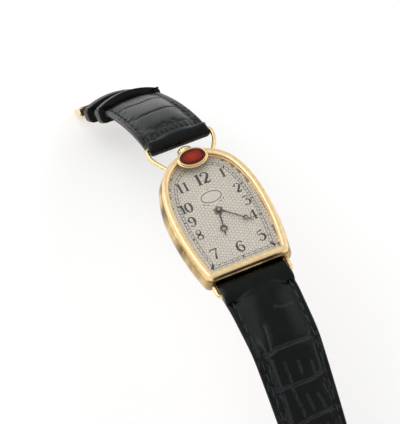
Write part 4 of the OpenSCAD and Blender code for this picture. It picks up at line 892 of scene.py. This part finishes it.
def strap_frame(half, s):
    """Place and slope of the strap's middle surface at s millimetres from its bar."""
    place, slope = Vector(half["bar"]), math.radians(half["slope"])
    for k, (length, turned) in enumerate(half["route"]):
        last = s <= length or k == len(half["route"]) - 1
        run = s if last else length
        turned = math.radians(turned) * run / length
        if abs(turned) < 1e-6:
            place = place + run * Vector((math.cos(slope), -math.sin(slope)))
        else:
            r = run / turned
            place = place + r * Vector((math.sin(slope + turned) - math.sin(slope),
                                        math.cos(slope + turned) - math.cos(slope)))
        slope += turned
        if last:
            return place, slope
        s -= length


# The lower half runs straight on from its bend and flares out so that its tail lies on the ground.
floor_mm = cad_box[0][2] / MM
bend_end = strap_frame(LOWER, sum(length for length, _ in LOWER["route"]))[0]
drop = bend_end.y - FLARE_R * (1 - math.cos(BEND_SLOPE)) - floor_mm - END_T / 2
LOWER["route"] += [[drop / math.sin(BEND_SLOPE), 0], [FLARE_R * BEND_SLOPE, -44], [TAIL_FLAT, 0]]
for half in (UPPER, LOWER):
    half["length"] = sum(length for length, _ in half["route"])
    print("strap half", round(half["length"], 1), "mm long, from y", round(half["bar"][0], 2))

# %% The strap's section
PAD_FROM, PAD_L, PADDING_END, THIN_FROM, THIN_L = 4, 52, 58, -9, 12
MARGIN, PAD_EDGE = 1.9, 0.2
SEAM_IN, SEAM_DEEP, SEAM_W = 1.35, 0.16, 0.28
EDGE_DROP, EDGE_W = 0.42, 0.5


def smooth(t):
    """An even step from 0 to 1."""
    t = min(max(t, 0), 1)
    return t * t * (3 - 2 * t)


def half_width(half, s):
    """Half the strap's width, which tapers from the lug to the tail."""
    return (half["lug_w"] + (TAIL_W - half["lug_w"]) * min(max(s, 0) / TAPER_L, 1)) / 2


def total_t(s):
    """The strap's thickness: full over the padding, thin at its end and a little at the lug."""
    padded = (1 - smooth((s - PAD_FROM) / PAD_L)) * smooth((s - THIN_FROM) / THIN_L)
    return END_T + (PAD_T - END_T) * padded


def lining_top(s):
    """Height of the lining's upper face over the strap's middle surface."""
    return -total_t(s) / 2 + LINING_T


def top_surface(half, s, x):
    """Height of the plain leather over the middle surface, before the grain."""
    wide = half_width(half, s)
    base = lining_top(s) + OUTER_T
    pad = 0.02
    if s < PADDING_END:
        pad = max(total_t(s) - OUTER_T - LINING_T - PAD_EDGE - 0.02, 0.02) + PAD_EDGE
    u = abs(x) / (wide - MARGIN)
    rise = pad * (1 - u ** 3) if u < 1 else 0.0
    sewn = SEAM_DEEP * math.exp(-((abs(x) - wide + SEAM_IN) / SEAM_W) ** 2)
    edge = max(EDGE_W - (wide - abs(x)), 0) / EDGE_W
    return base + rise - sewn - EDGE_DROP * edge ** 2.2


print("thickness at the lug, middle and tail:", [round(total_t(s), 2) for s in (0, 30, 60)])

# %% [markdown]
# ## Grain
# A heated plate presses the grain into the real leather: long creases across the strap, shorter
# ones along it that end before they meet, and fine wrinkles near the edges. A Voronoi pattern
# would give even cells, which no hide has. So the large creases are lines on the flat strap, as
# (along, across) points with a depth and a width, each broken into short runs that stray. Nearer
# the ends a seeded random draw goes on in the same manner.

# %% Crease lines
def wander(points, rng, amount, step=1.2):
    """Breaks a crease into short runs that stray from the straight."""
    made = [points[0]]
    for one, two in zip(points, points[1:]):
        count = max(int(math.dist(one, two) / step), 1)
        for k in range(1, count + 1):
            t = k / count
            made.append((one[0] + (two[0] - one[0]) * t + rng.uniform(-amount, amount),
                         one[1] + (two[1] - one[1]) * t + rng.uniform(-amount, amount)))
    return made


UPPER_LINES = [
    ([(11.6, -6.2), (7.9, -5.3), (4.9, -3.5), (4.4, -1.0), (4.4, 1.3), (4.8, 4.0), (6.2, 5.8)],
     0.16, 0.3),
    ([(19.5, -6.9), (18.4, -5.5), (16, -4.5), (14.9, -2.6), (14.8, -0.7), (14.8, 1.4), (15.1, 3.7),
      (16.2, 6.2)], 0.26, 0.3),
    ([(30.4, -6.6), (28.8, -4.3), (26.8, -2.4), (26.2, -1.1), (26.7, 1), (27.5, 3.6), (28.8, 5.2)],
     0.24, 0.3),
    ([(38.6, -6), (37.4, -3), (36.8, 0), (37.2, 3), (38.2, 5.6)], 0.2, 0.28),
    ([(8.3, 5.9), (12.8, 6.2), (18.3, 6.1), (22.6, 5.8), (29.2, 5.0), (36, 5.2)], 0.12, 0.24),
    ([(12, -6.3), (18, -6.9), (24, -6.6), (30, -6.3), (37, -6.0)], 0.1, 0.22)]
LOWER_LINES = [
    ([(17.7, -5.2), (17.2, -4.5), (16.8, -2.9), (16.9, -1.3), (16.9, 0.4), (16.8, 2.4), (17, 4.6),
      (16.9, 6), (16.8, 7.6)], 0.3, 0.26),
    ([(24.7, -7.0), (25.7, -5.9), (26.1, -5.1), (25.6, -4), (25.7, -2), (25.9, 0.4), (25.9, 2.5),
      (25.7, 4.4), (25.2, 6)], 0.32, 0.26),
    ([(35.4, -5.2), (34.9, -2.4), (34.6, -0.7), (34.5, 1.1), (34.5, 3.7), (34.6, 6.4), (34.8, 7)],
     0.32, 0.26),
    ([(18.9, -5.1), (25.3, -5.1)], 0.3, 0.18), ([(18.7, -4.6), (25.4, -4.6)], 0.14, 0.14),
    ([(20.2, -2.2), (24.9, -2.1)], 0.3, 0.2), ([(20.9, 0.9), (23.7, 0.9)], 0.24, 0.2),
    ([(22.1, 4.0), (24.7, 4.0)], 0.26, 0.2), ([(18.6, 6.0), (24.8, 5.7)], 0.1, 0.2),
    ([(27.2, -5.1), (33.9, -5.1)], 0.3, 0.18), ([(27.0, -4.6), (33.9, -4.6)], 0.14, 0.14),
    ([(26.5, -2.3), (33.4, -1.4)], 0.3, 0.2), ([(29, 0.5), (33, 1.1)], 0.26, 0.2),
    ([(29.9, 3.1), (33.3, 3.9)], 0.28, 0.2),
    ([(11.1, -3.4), (13.5, -3.5), (15.6, -3.9), (16.9, -4.3)], 0.14, 0.18),
    ([(13.8, -5.5), (17.3, -5.2)], 0.12, 0.16),
    ([(8, 0.8), (8.7, 2.2), (8.7, 3.9), (8.4, 5.3)], 0.06, 0.3)]
UPPER["lines"], LOWER["lines"] = UPPER_LINES, LOWER_LINES
# Where the drawn lines end, each band is the stretch between two creases across the strap.
UPPER["bands"] = [(38.6, 46.8), (46.8, 55.2)]
LOWER["bands"] = [(34.8, 43.6), (43.6, 52.0), (52.0, 60.6), (60.6, 69.0), (69.0, 77.0), (77.0, 84.6)]
# The upper half's leather is gathered into small folds where it leaves the wire.
UPPER["gathers"] = (-6.9, -6.2, -4.75, -3.4, -2.25, -0.9, 0.45, 1.7, 3.15, 4.6, 5.9)
LOWER["gathers"] = ()
UPPER["wrinkles_from"], LOWER["wrinkles_from"], WRINKLES_END = 6.0, 12.0, 14
# The shorter creases along a band lie at these shares of its half width.
BAND_MARGIN, ALONG = 1.7, (-0.72, -0.62, -0.25, 0.15, 0.55)
print("crease lines:", len(UPPER_LINES), "and", len(LOWER_LINES))

# %% Grain
def gathers(half, rng):
    """Short folds along the strap beside the wire."""
    for x in half["gathers"]:
        yield (wander([(1.6, x + 0.2), (4.6 + rng.uniform(-0.6, 1.4), x)], rng, 0.16, 0.6),
               rng.uniform(0.2, 0.32), rng.uniform(0.18, 0.24))


def band_creases(half, rng):
    """One crease across at each band's end, and shorter ones along the band."""
    for start, end in half["bands"]:
        wide = half_width(half, end) - BAND_MARGIN
        crossing = [(end + rng.uniform(-0.5, 0.7), x) for x in np.linspace(-wide, wide, 7)]
        yield wander(crossing, rng, 0.1, 0.8), 0.24, 0.26
        for x in ALONG:
            shift = rng.uniform(-0.3, 0.3)
            one = (start + rng.uniform(0.5, 2.5), x * wide + shift)
            two = (end - rng.uniform(0.5, 1.6), x * wide)
            yield wander([one, two], rng, 0.07), rng.uniform(0.1, 0.2), 0.18


def edge_wrinkles(half, rng):
    """Fine, shallow wrinkles near the strap's edges, more of them at the left."""
    s = half["wrinkles_from"]
    while s < half["length"] - WRINKLES_END:
        wide = half_width(half, s)
        for _ in range(3):
            x = rng.uniform(wide - 2.9, wide - 0.4) * rng.choice((-1, -1, 1))
            end = (s + rng.uniform(0.8, 2.4), x + rng.uniform(-0.7, 0.7))
            yield (wander([(s, x), end], rng, 0.1, 0.5),
                   rng.uniform(0.05, 0.13), rng.uniform(0.1, 0.16))
        s += rng.uniform(0.7, 1.3)


def grain(half, rng):
    """All creases, as (points, depth, width)."""
    drawn = [(wander(points, rng, 0.1, 0.8), deep, wide) for points, deep, wide in half["lines"]]
    return [*drawn, *gathers(half, rng), *band_creases(half, rng), *edge_wrinkles(half, rng)]


PILLOW, PILLOW_W, FULL_DEPTH, LEAST_PILLOW = 0.1, 0.9, 0.2, 0.12
FAR = 9.0


def crease_depths(along, across, creases):
    """Depth of the pressed grain at many places, and how deep in a crease each lies, 0 to 1."""
    depth = np.zeros_like(along)
    inside_crease = np.zeros_like(along)
    near = np.full_like(along, FAR)
    for points, deep, wide in creases:
        best = np.full_like(along, FAR)
        for (s0, x0), (s1, x1) in zip(points, points[1:]):
            span = (s1 - s0) ** 2 + (x1 - x0) ** 2 + 1e-9
            t = np.clip(((along - s0) * (s1 - s0) + (across - x0) * (x1 - x0)) / span, 0, 1)
            best = np.minimum(best, np.hypot(along - s0 - t * (s1 - s0), across - x0 - t * (x1 - x0)))
        pressed = np.exp(-(best / wide) ** 2)
        depth = np.maximum(depth, deep * pressed)
        inside_crease = np.maximum(inside_crease, pressed * min(deep / FULL_DEPTH, 1))
        if deep > LEAST_PILLOW:
            near = np.minimum(near, best)
    pillow = PILLOW * np.exp(-(near / PILLOW_W) ** 2)
    return depth + pillow, inside_crease


print("deepest crease:", max(deep for _, deep, _ in UPPER_LINES + LOWER_LINES), "mm")

# %% [markdown]
# ## Sleeve
# Leather and lining are made by one function: a flat grid whose columns are wrapped round the
# strap's section and whose rows are laid along its run. Solidify and Bend modifiers could do the
# same, but then the creases, the roll round the wire and the sewn edge couldn't be set point by
# point. The grid carries its flat place as the UV map that the leather finish reads.

# %% Rows and sleeve
BUCKLE_FOLD_R, ROW = 1.65, 0.3
LUG_ROWS, FOLD_ROWS = 10, 8
GRAIN_FROM, GRAIN_EDGE = 1.2, 0.5


def strap_rows(half, start, stop, noses):
    """Where the rows lie: evenly along the strap, and closer together round its folds."""
    rows = []
    if "lug" in noses:
        reach = half["nose"][0]
        rows += [-reach * math.cos(k / LUG_ROWS * math.pi / 2) for k in range(LUG_ROWS)]
        start = 0.0
    count = int((stop - start) / ROW)
    rows += [start + (stop - start) * k / count for k in range(count + 1)]
    if "buckle" in noses:
        rows += [stop + BUCKLE_FOLD_R * math.sin(k / FOLD_ROWS * math.pi / 2)
                 for k in range(1, FOLD_ROWS + 1)]
    return rows


def strap_sleeve(half, rows, top, low, wide, creases=(), columns=72):
    """A grid wrapped round the strap's section and along its rows. A fold closes an end of it,
    and a plain cut end stays open, as a tube's does."""
    spread = [math.copysign(1 - (1 - abs(t)) ** 1.25, t) for t in np.linspace(-1, 1, columns + 1)]
    around = [(t, True) for t in spread] + [(t, False) for t in reversed(spread)]
    around.append(around[0])
    m, n = len(around) - 1, len(rows) - 1
    bm = bmesh.new()
    flat = bm.loops.layers.uv.new("strap_mm")
    crease = bm.verts.layers.float.new("crease")
    verts = bmesh.ops.create_grid(bm, x_segments=m, y_segments=n, size=1)["verts"]
    s_of, x_of, up = (np.zeros(len(verts)) for _ in range(3))
    for index, v in enumerate(verts):
        t, upper = around[round((v.co.x + 1) / 2 * m)]
        s = rows[round((v.co.y + 1) / 2 * n)]
        s_of[index], x_of[index], up[index] = s, t * wide(s), upper
    pressed, deep = crease_depths(s_of, x_of, creases)
    frames = {s: strap_frame(half, s) for s in rows}
    for index, v in enumerate(verts):
        s, x = s_of[index], x_of[index]
        place, slope = frames[s]
        fade = smooth((s - GRAIN_FROM) / GRAIN_FROM) * smooth((wide(s) - abs(x)) / GRAIN_EDGE)
        height = top(s, x) - pressed[index] * fade if up[index] else low(s, x)
        v[crease] = deep[index] * fade if up[index] else 0.0
        v.co = (x, half["side"] * (place.x + height * math.sin(slope)),
                place.y + height * math.cos(slope))
    where = {v: (x_of[k], s_of[k]) for k, v in enumerate(verts)}
    for face in bm.faces:
        for loop in face.loops:
            loop[flat].uv = where[loop.vert]
    return bm


print("rows along the upper half:", len(strap_rows(UPPER, 0, UPPER["length"], ("lug", "buckle"))))

# %% Leather and lining of a half
def roll(s, radius):
    """Height of a round roll, at s from its axis."""
    return math.sqrt(max(radius * radius - s * s, 0))


def soft_max(a, b, k):
    """The larger of two heights, with the corner between them rounded over k."""
    h = max(k - abs(a - b), 0) / k
    return max(a, b) + h * h * k / 4


FLATNESS, ROLL_END, END_DROP, ROLL_BLEND = 2.3, 0.7, 0.4, 0.5
NARROW_FROM, NARROW_L, FIRST_TOP = 0.2, 1.6, 0.8
BAR_SIDE, NECK_L, NECK_DEEP, NECK_SHIFT, NECK_W = 0.3, 4, 0.1, 0.3, 0.4
OUTSIDE = 9.0  # a height that any surface of the strap lies within


def leather_half(half, creases, noses, stop):
    """The outer leather with its padding, rolled round the wire and, if named, the buckle's bar."""
    reach, high, deep = half["nose"]

    def wide(s):
        return half_width(half, s) - half["narrow"] * (1 - smooth((s - NARROW_FROM) / NARROW_L))

    def fold(s, x, height):
        """The leather turned round the wire: a flattened roll with rounded ends."""
        if s >= reach:
            return -OUTSIDE
        end = max(abs(x) - wide(s) + ROLL_END, 0) / ROLL_END
        round_part = (1 - abs(s / reach) ** FLATNESS) ** (1 / FLATNESS)
        return height * round_part * (1 - END_DROP * end ** 2)

    def top(s, x):
        made = top_surface(half, max(s, FIRST_TOP), x)
        if s < NECK_L:
            rolled = fold(s, x, high)
            made = soft_max(rolled, made, ROLL_BLEND) if s > BAR_SIDE else rolled
            # Just behind the roll the leather is drawn in a little.
            made -= NECK_DEEP * math.exp(-((s - reach - NECK_SHIFT) / NECK_W) ** 2)
        if "buckle" in noses and s > stop - 3:
            made = max(made if s <= stop else -OUTSIDE, roll(s - stop, BUCKLE_FOLD_R))
        return made

    def low(s, x):
        made = min(-fold(s, x, deep), lining_top(s) if s > 0 else OUTSIDE)
        if "buckle" in noses and s > stop - BUCKLE_FOLD_R:
            made = min(-roll(s - stop, BUCKLE_FOLD_R), lining_top(s) if s < stop else OUTSIDE)
        return made

    return strap_sleeve(half, strap_rows(half, 0, stop, noses), top, low, wide, creases)


LINING_IN, LINING_FROM, LINING_EDGE = 0.15, 1.8, 0.3


def lining_half(half, stop):
    """The lining: a flat sheet a little narrower than the leather, with softened lower edges."""
    def wide(s):
        return half_width(half, s) - LINING_IN

    def top(s, x):
        return lining_top(s) - 0.01

    def low(s, x):
        edge = max(LINING_EDGE - (wide(s) - abs(x)), 0) / LINING_EDGE
        return lining_top(s) - LINING_T + 0.25 * edge ** 2

    return strap_sleeve(half, strap_rows(half, LINING_FROM, stop, ()), top, low, wide, columns=16)


print("rolls round the wires:", [half["nose"][1] + half["nose"][2] for half in (UPPER, LOWER)], "mm")

# %% Punch, and a place on the strap
def cut_through(piece, cutter):
    """Cuts the cutter's shape out of a piece, as a punch does."""
    bmesh.ops.scale(cutter, vec=(MM, MM, MM), verts=cutter.verts)
    mesh = bpy.data.meshes.new("punch")
    cutter.to_mesh(mesh)
    cutter.free()
    punch = bpy.data.objects.new("punch", mesh)
    scene.collection.objects.link(punch)
    body, piece.parent = piece.parent, None
    modifier = piece.modifiers.new("punched", "BOOLEAN")
    modifier.object = punch
    modifier.operation = "DIFFERENCE"
    modifier.solver = "EXACT"
    shown = piece.evaluated_get(bpy.context.evaluated_depsgraph_get())
    made = bpy.data.meshes.new_from_object(shown)
    piece.modifiers.clear()
    old, piece.data = piece.data, made
    piece.parent = body
    bpy.data.objects.remove(punch)
    bpy.data.meshes.remove(old)
    made.name = piece.name
    return piece


def at_strap(half, s, x=0.0, n=0.0):
    """Matrix that stands a shape on the strap: x across, y along it and z outwards."""
    place, slope = strap_frame(half, s)
    side = half["side"]
    along = Vector((0, side * math.cos(slope), -math.sin(slope)))
    out = Vector((0, side * math.sin(slope), math.cos(slope)))
    across = along.cross(out)
    where = Vector((x, side * place.x, place.y)) + out * n
    return Matrix.Translation(where) @ Matrix((across, along, out)).transposed().to_4x4()


tail_end = at_strap(LOWER, LOWER["length"]).translation
print("the tail ends at", [round(c, 1) for c in tail_end], "mm")

# %% [markdown]
# ## Upper half
# The upper half turns round the wire at the case and round the buckle's spring bar at its end,
# where a slot in the fold lets the tongue through. Faces could be deleted for it, but the slot
# crosses the rows of the fold at an angle. So a boolean cuts it, as a punch cuts the real one.

# %% Upper half
UPPER_SEED, BUCKLE_SLOPE = 5, math.radians(54)
SLOT_W, SLOT_L, SLOT_SHIFT, CUT_DEEP = 2.0, 5.25, -0.375, 6
bm = leather_half(UPPER, grain(UPPER, random.Random(UPPER_SEED)), ("lug", "buckle"), UPPER["length"])
upper_leather = finish_piece("upper_leather_grained", bm, "upper_strap",
                             croc_leather, ["upper_strap_leather", "upper_strap_padding"], sharp=60)
slot = bmesh.new()
bmesh.ops.create_cube(slot, size=1)
buckle_end = strap_frame(UPPER, UPPER["length"])[0]
at_buckle = Matrix.Translation((0, *buckle_end)) @ Matrix.Rotation(math.pi - BUCKLE_SLOPE, 4, "X")
slot_shape = Matrix.Translation((0, SLOT_SHIFT, 0)) @ Matrix.Diagonal((SLOT_W, SLOT_L, CUT_DEEP, 1))
bmesh.ops.transform(slot, verts=slot.verts, matrix=at_buckle @ slot_shape)
cut_through(upper_leather, slot)
bm = lining_half(UPPER, UPPER["length"] - BUCKLE_FOLD_R - 0.75)
finish_piece("upper_lining_calf", bm, "upper_strap", lining_leather,
             ["upper_strap_lining"], sharp=60)

# %% [markdown]
# ## Lower half
# The lower half ends in a rounded point and has seven holes for the tongue. The point could be cut
# off with a boolean too, but moving each row's vertices inwards keeps the edge's softened shape
# all the way round. The holes are punched through leather and lining alike.

# %% Lower half
LOWER_SEED, TIP_L, HOLES, HOLE_R, HOLE_PITCH, HOLES_FROM_TIP = 11, 7.0, 7, 0.85, 6.0, 13.0


def tip_half_width(s):
    """The pointed tail: its half width at s."""
    t = min(max((LOWER["length"] - s) / TIP_L, 0), 1)
    return TAIL_W / 2 * (1 - (1 - t ** 0.625) ** 2)


def punch_holes(piece):
    """Punches the row of holes along the tail."""
    cutter = bmesh.new()
    for k in range(HOLES):
        s = LOWER["length"] - HOLES_FROM_TIP - k * HOLE_PITCH
        bmesh.ops.create_cone(cutter, cap_ends=True, segments=24, radius1=HOLE_R, radius2=HOLE_R,
                              depth=CUT_DEEP, matrix=at_strap(LOWER, s))
    return cut_through(piece, cutter)


def taper_tip(bm, inset=0.0):
    """Narrows the tail to its point by moving each row's vertices towards the middle."""
    flat = bm.loops.layers.uv.active
    done = set()
    for face in bm.faces:
        for loop in face.loops:
            if loop.vert in done:
                continue
            s = loop[flat].uv.y
            if s > LOWER["length"] - TIP_L:
                done.add(loop.vert)
                loop.vert.co.x *= max(tip_half_width(s) - inset, 0.02) / (TAIL_W / 2 - inset)
    return bm


bm = leather_half(LOWER, grain(LOWER, random.Random(LOWER_SEED)), ("lug",), LOWER["length"])
lower_leather = finish_piece("lower_leather_grained", taper_tip(bm), "lower_strap",
                             croc_leather,
                             ["lower_strap_leather", "lower_strap_padding"], sharp=60)
punch_holes(lower_leather)
bm = taper_tip(lining_half(LOWER, LOWER["length"]), LINING_IN)
lower_lining = finish_piece("lower_lining_calf", bm, "lower_strap", lining_leather,
                            ["lower_strap_lining"], sharp=60)
punch_holes(lower_lining)

# %% [markdown]
# ## Stitches
# Waxed thread runs about a millimetre and a half inside each edge. A real stitch dives into its
# holes, and only a short straight run of it shows. So one stitch is a small capsule, sunk into the
# groove that the seam pulls, and the same row shows on the lining side. A stretched sphere of few
# faces is enough for a shape that comes more than a hundred times.

# %% Stitches
THREAD_R, STITCH_L, STITCH_PITCH, STITCHES_FROM, SLANT = 0.17, 2.2, 3.1, 2.6, math.radians(2)
THREAD_OUT, THREAD_UNDER, BUCKLE_CLEAR = 0.05, 0.02, 12


def stitch(bm, place, slant):
    """A capsule along the strap: a sphere whose two halves are pulled apart."""
    made = bmesh.ops.create_uvsphere(bm, u_segments=8, v_segments=7, radius=THREAD_R)["verts"]
    for v in made:
        if abs(v.co.z) > 0.05:
            v.co.z += math.copysign(STITCH_L / 2 - THREAD_R, v.co.z)
    lie = Matrix.Rotation(slant, 4, "Z") @ Matrix.Rotation(math.pi / 2, 4, "X")
    bmesh.ops.transform(bm, verts=made, matrix=place @ lie)


def stitch_rows(half, stop):
    """Both seams of a half, above and below."""
    bm = bmesh.new()
    s = STITCHES_FROM
    while s + STITCH_L < stop:
        middle = s + STITCH_L / 2
        x = half_width(half, middle) - SEAM_IN
        for sign in (-1, 1):
            over = top_surface(half, middle, x) + THREAD_OUT
            under = lining_top(middle) - LINING_T - THREAD_UNDER
            stitch(bm, at_strap(half, middle, sign * x, over), SLANT * sign)
            stitch(bm, at_strap(half, middle, sign * x, under), -SLANT * sign)
        s += STITCH_PITCH
    return bm


finish_piece("upper_stitches", stitch_rows(UPPER, UPPER["length"] - BUCKLE_CLEAR), "upper_strap",
             thread, weld=False)
finish_piece("lower_stitches", stitch_rows(LOWER, LOWER["length"] - TIP_L), "lower_strap",
             thread, weld=False)

# %% [markdown]
# ## Keepers
# The keepers are bands of smooth leather with burnished edges, which hold the tail of the other
# half. One is sewn in beside the buckle and the other slides. Four loops of the same form, at the
# band's two edges outside and inside, are bridged to a closed ring, and a bevel softens its edges
# as burnishing does.

# %% Keepers
KEEPER_T, KEEPER_L, BURNISHED = 1.1, 5.0, 0.3
SIDE_UP, MIDDLE_ROOM, SIDE_ROOM = 0.4, 1.2, 0.1
OUTER_BENDS, INNER_BENDS = (1.4, 1.2), (0.5, 0.3)


def keeper_loop(half, low, middle, arch, low_r, side_r):
    """A loop's section: flat at the lining, low at the strap's edges, arched over its middle."""
    x = half - side_r
    z = middle + math.sqrt((arch - side_r) ** 2 - x * x)
    lean = math.atan2(z - middle, x)
    turns = [(half - low_r, low + low_r, low_r, -math.pi / 2, 0, 0, 8), (x, z, side_r, 0, lean, 0, 8),
             (0, middle, arch, lean, math.pi / 2, 1, 20)]
    right = [(cx + r * math.cos(a), cz + r * math.sin(a)) for cx, cz, r, start, end, first, n in turns
             for a in (start + (end - start) * k / n for k in range(first, n + 1))]
    return right[:-1] + [(0, middle + arch)] + [(-x, z) for x, z in right[-2::-1]]


def keeper_band(name, s, body, node, room_under):
    """A keeper round the strap at s, with its room under the lining given."""
    half = half_width(UPPER, s - KEEPER_L / 2) + SIDE_ROOM
    low = -total_t(s) / 2 - room_under
    side = lining_top(s) + 0.55 * OUTER_T + SIDE_UP
    rise = total_t(s) / 2 + MIDDLE_ROOM - side
    arch = (half * half + rise * rise) / (2 * rise)
    middle = side + rise - arch
    bm = bmesh.new()
    flat = bm.loops.layers.uv.new("strap_mm")
    loops = []
    for grow, bends, edge in ((KEEPER_T, OUTER_BENDS, -1), (KEEPER_T, OUTER_BENDS, 1),
                              (0, INNER_BENDS, 1), (0, INNER_BENDS, -1)):
        points = keeper_loop(half + grow, low - grow, middle, arch + grow, *bends)
        verts = [bm.verts.new((x, edge * KEEPER_L / 2, z)) for x, z in points]
        loops.append([bm.edges.new(pair) for pair in zip(verts, verts[1:] + verts[:1])])
    for one, other in zip(loops, loops[1:] + loops[:1]):
        bmesh.ops.bridge_loops(bm, edges=one + other)
    bmesh.ops.bevel(bm, geom=[e for loop in loops for e in loop], offset=BURNISHED,
                    offset_type="OFFSET", segments=3, profile=0.5, affect="EDGES", material=-1)
    bmesh.ops.transform(bm, verts=bm.verts, matrix=at_strap(UPPER, s))
    back = at_strap(UPPER, s).inverted()
    for face in bm.faces:
        for loop in face.loops:
            spot = back @ loop.vert.co
            loop[flat].uv = (spot.x + spot.z, spot.y)
    return finish_piece(name, bm, body, keeper_leather, [node], sharp=50)


FREE_S = sum(length for length, _ in UPPER["route"][:4]) + 4.3
FIXED_S = UPPER["length"] - BUCKLE_FOLD_R - 1.2 - KEEPER_L / 2
keeper_band("free_keeper_band", FREE_S, "free_keeper_body", "free_keeper", room_under=0.3)
keeper_band("fixed_keeper_band", FIXED_S, "upper_strap", "fixed_keeper", room_under=0.1)

# %% [markdown]
# ## Parts that keep their CAD shape
# The hands, the buckle and the whole movement are hard parts whose CAD shape is already right: the
# buckle's frame is round stock, the hands are cut from sheet, and the wheels have their teeth.
# Making them again would only risk a wrong fit. So they stay, and each gets its metal: gold for
# the buckle, tempered steel for the hands, gilt brass for plates and wheels, steel for what wears.

# %% Finishes of the CAD parts
kept = {
    buffed_gold: ["buckle_frame", "buckle_tongue", "crown_tube"],
    hand_metal: ["hour_hand", "minute_hand"],
    brass: ["mainplate", "train_bridge", "balance_cock", "movement_ring", "barrel", "centre_wheel",
            "third_wheel", "fourth_wheel", "hour_wheel", "minute_wheel", "balance_wheel"],
    steel: ["cannon_pinion", "winding_stem", "bridge_screws", "mainspring", "ratchet_wheel",
            "crown_wheel", "escape_wheel", "pallet_fork", "hairspring", "buckle_spring_bar"],
    ruby: ["jewels"],
    rubber: ["back_gasket", "crown_gasket"],
}
for finish, names in kept.items():
    for name in names:
        mesh = frame["nodes"][name].data
        mesh.materials.clear()
        mesh.materials.append(finish)
bare = [node.name for node in frame["nodes"].values()
        if not node.hide_render and not node.data.materials]
print("CAD parts with a finish:", sum(len(names) for names in kept.values()), "without:", bare)

# %% [markdown]
# ## Ground
# The watch lies on a plain white sheet, which ends nowhere in view. A sheet bright enough to look
# white would throw its light up into the gold, so its paper is left plain and a faint glow is added
# for the camera, and for what metal and glass mirror. The light on the watch doesn't see the glow,
# and the watch's shadow stays.

# %% Floor
SHEET_HALF, SHEET_GAP, GLOW = 3000, 0.2, 0.16
ground = new_finish("white_sheet")
rays = add(ground, "ShaderNodeLightPath").outputs
seen = add(ground, "ShaderNodeMath", {0: rays["Is Camera Ray"], 1: rays["Is Glossy Ray"]},
           operation="MAXIMUM")
seen = add(ground, "ShaderNodeMath", {0: seen.outputs[0], 1: rays["Is Transmission Ray"]},
           operation="MAXIMUM")
paper = add(ground, "ShaderNodeBsdfDiffuse", {"Color": linear("#F4F4F4")})
glow = add(ground, "ShaderNodeEmission", {"Color": linear("#FFFFFF"), "Strength": GLOW})
lifted = add(ground, "ShaderNodeAddShader", {0: paper.outputs[0], 1: glow.outputs[0]})
ground_mix = add(ground, "ShaderNodeMixShader",
                 {0: seen.outputs[0], 1: paper.outputs[0], 2: lifted.outputs[0]})
surface(ground, ground_mix.outputs[0])
bm = bmesh.new()
bmesh.ops.create_grid(bm, x_segments=1, y_segments=1, size=SHEET_HALF * MM)
bmesh.ops.translate(bm, vec=(0, 0, (floor_mm - SHEET_GAP) * MM), verts=bm.verts)
floor_mesh = bpy.data.meshes.new("floor")
bm.to_mesh(floor_mesh)
bm.free()
floor = bpy.data.objects.new("floor", floor_mesh)
scene.collection.objects.link(floor)
floor_mesh.materials.append(ground)
floor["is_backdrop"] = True
print("sheet at", round(floor_mm - SHEET_GAP, 2), "mm")

# %% [markdown]
# ## Light
# A white tent gives soft light from all sides; here the world is that tent. One large lamp to the
# left gives the gold its broad highlight, and a weaker one on the right opens the shadows. Small
# lamps would put hard points on the gold and the glazed leather, so both are wide areas.

# %% World and lamps
ROOM_LIGHT = 0.68
world = bpy.data.worlds.new("room")
scene.world = world
world.use_nodes = True
world.node_tree.nodes["Background"].inputs["Color"].default_value = linear("#FFFFFF")
world.node_tree.nodes["Background"].inputs["Strength"].default_value = ROOM_LIGHT


def lamp(name, place, size, watts):
    """A square area lamp, in metres and watts, turned to the watch."""
    data = bpy.data.lights.new(name, "AREA")
    data.size = size
    data.energy = watts
    made = bpy.data.objects.new(name, data)
    made.location = place
    made.rotation_mode = "QUATERNION"
    made.rotation_quaternion = (-Vector(place)).to_track_quat("-Z", "Y")
    scene.collection.objects.link(made)
    print(name, watts, "W")


lamp("large_left_lamp", (-0.55, 0.35, 0.75), size=1.1, watts=4.5)
lamp("right_fill_lamp", (0.75, 0.0, 0.6), size=0.8, watts=1.6)

# %% [markdown]
# ## Size
# The dressed watch must be as large as the CAD model, apart from the band, which swells half a
# millimetre more at each side, and the thread that stands proud under the tail. Both boxes are
# kept side by side, and the visual one is printed.

# %% Sizes and finish
size = {"cad": cad_box, "visual": [list(corner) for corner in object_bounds()]}
print("visual box:", size["visual"])
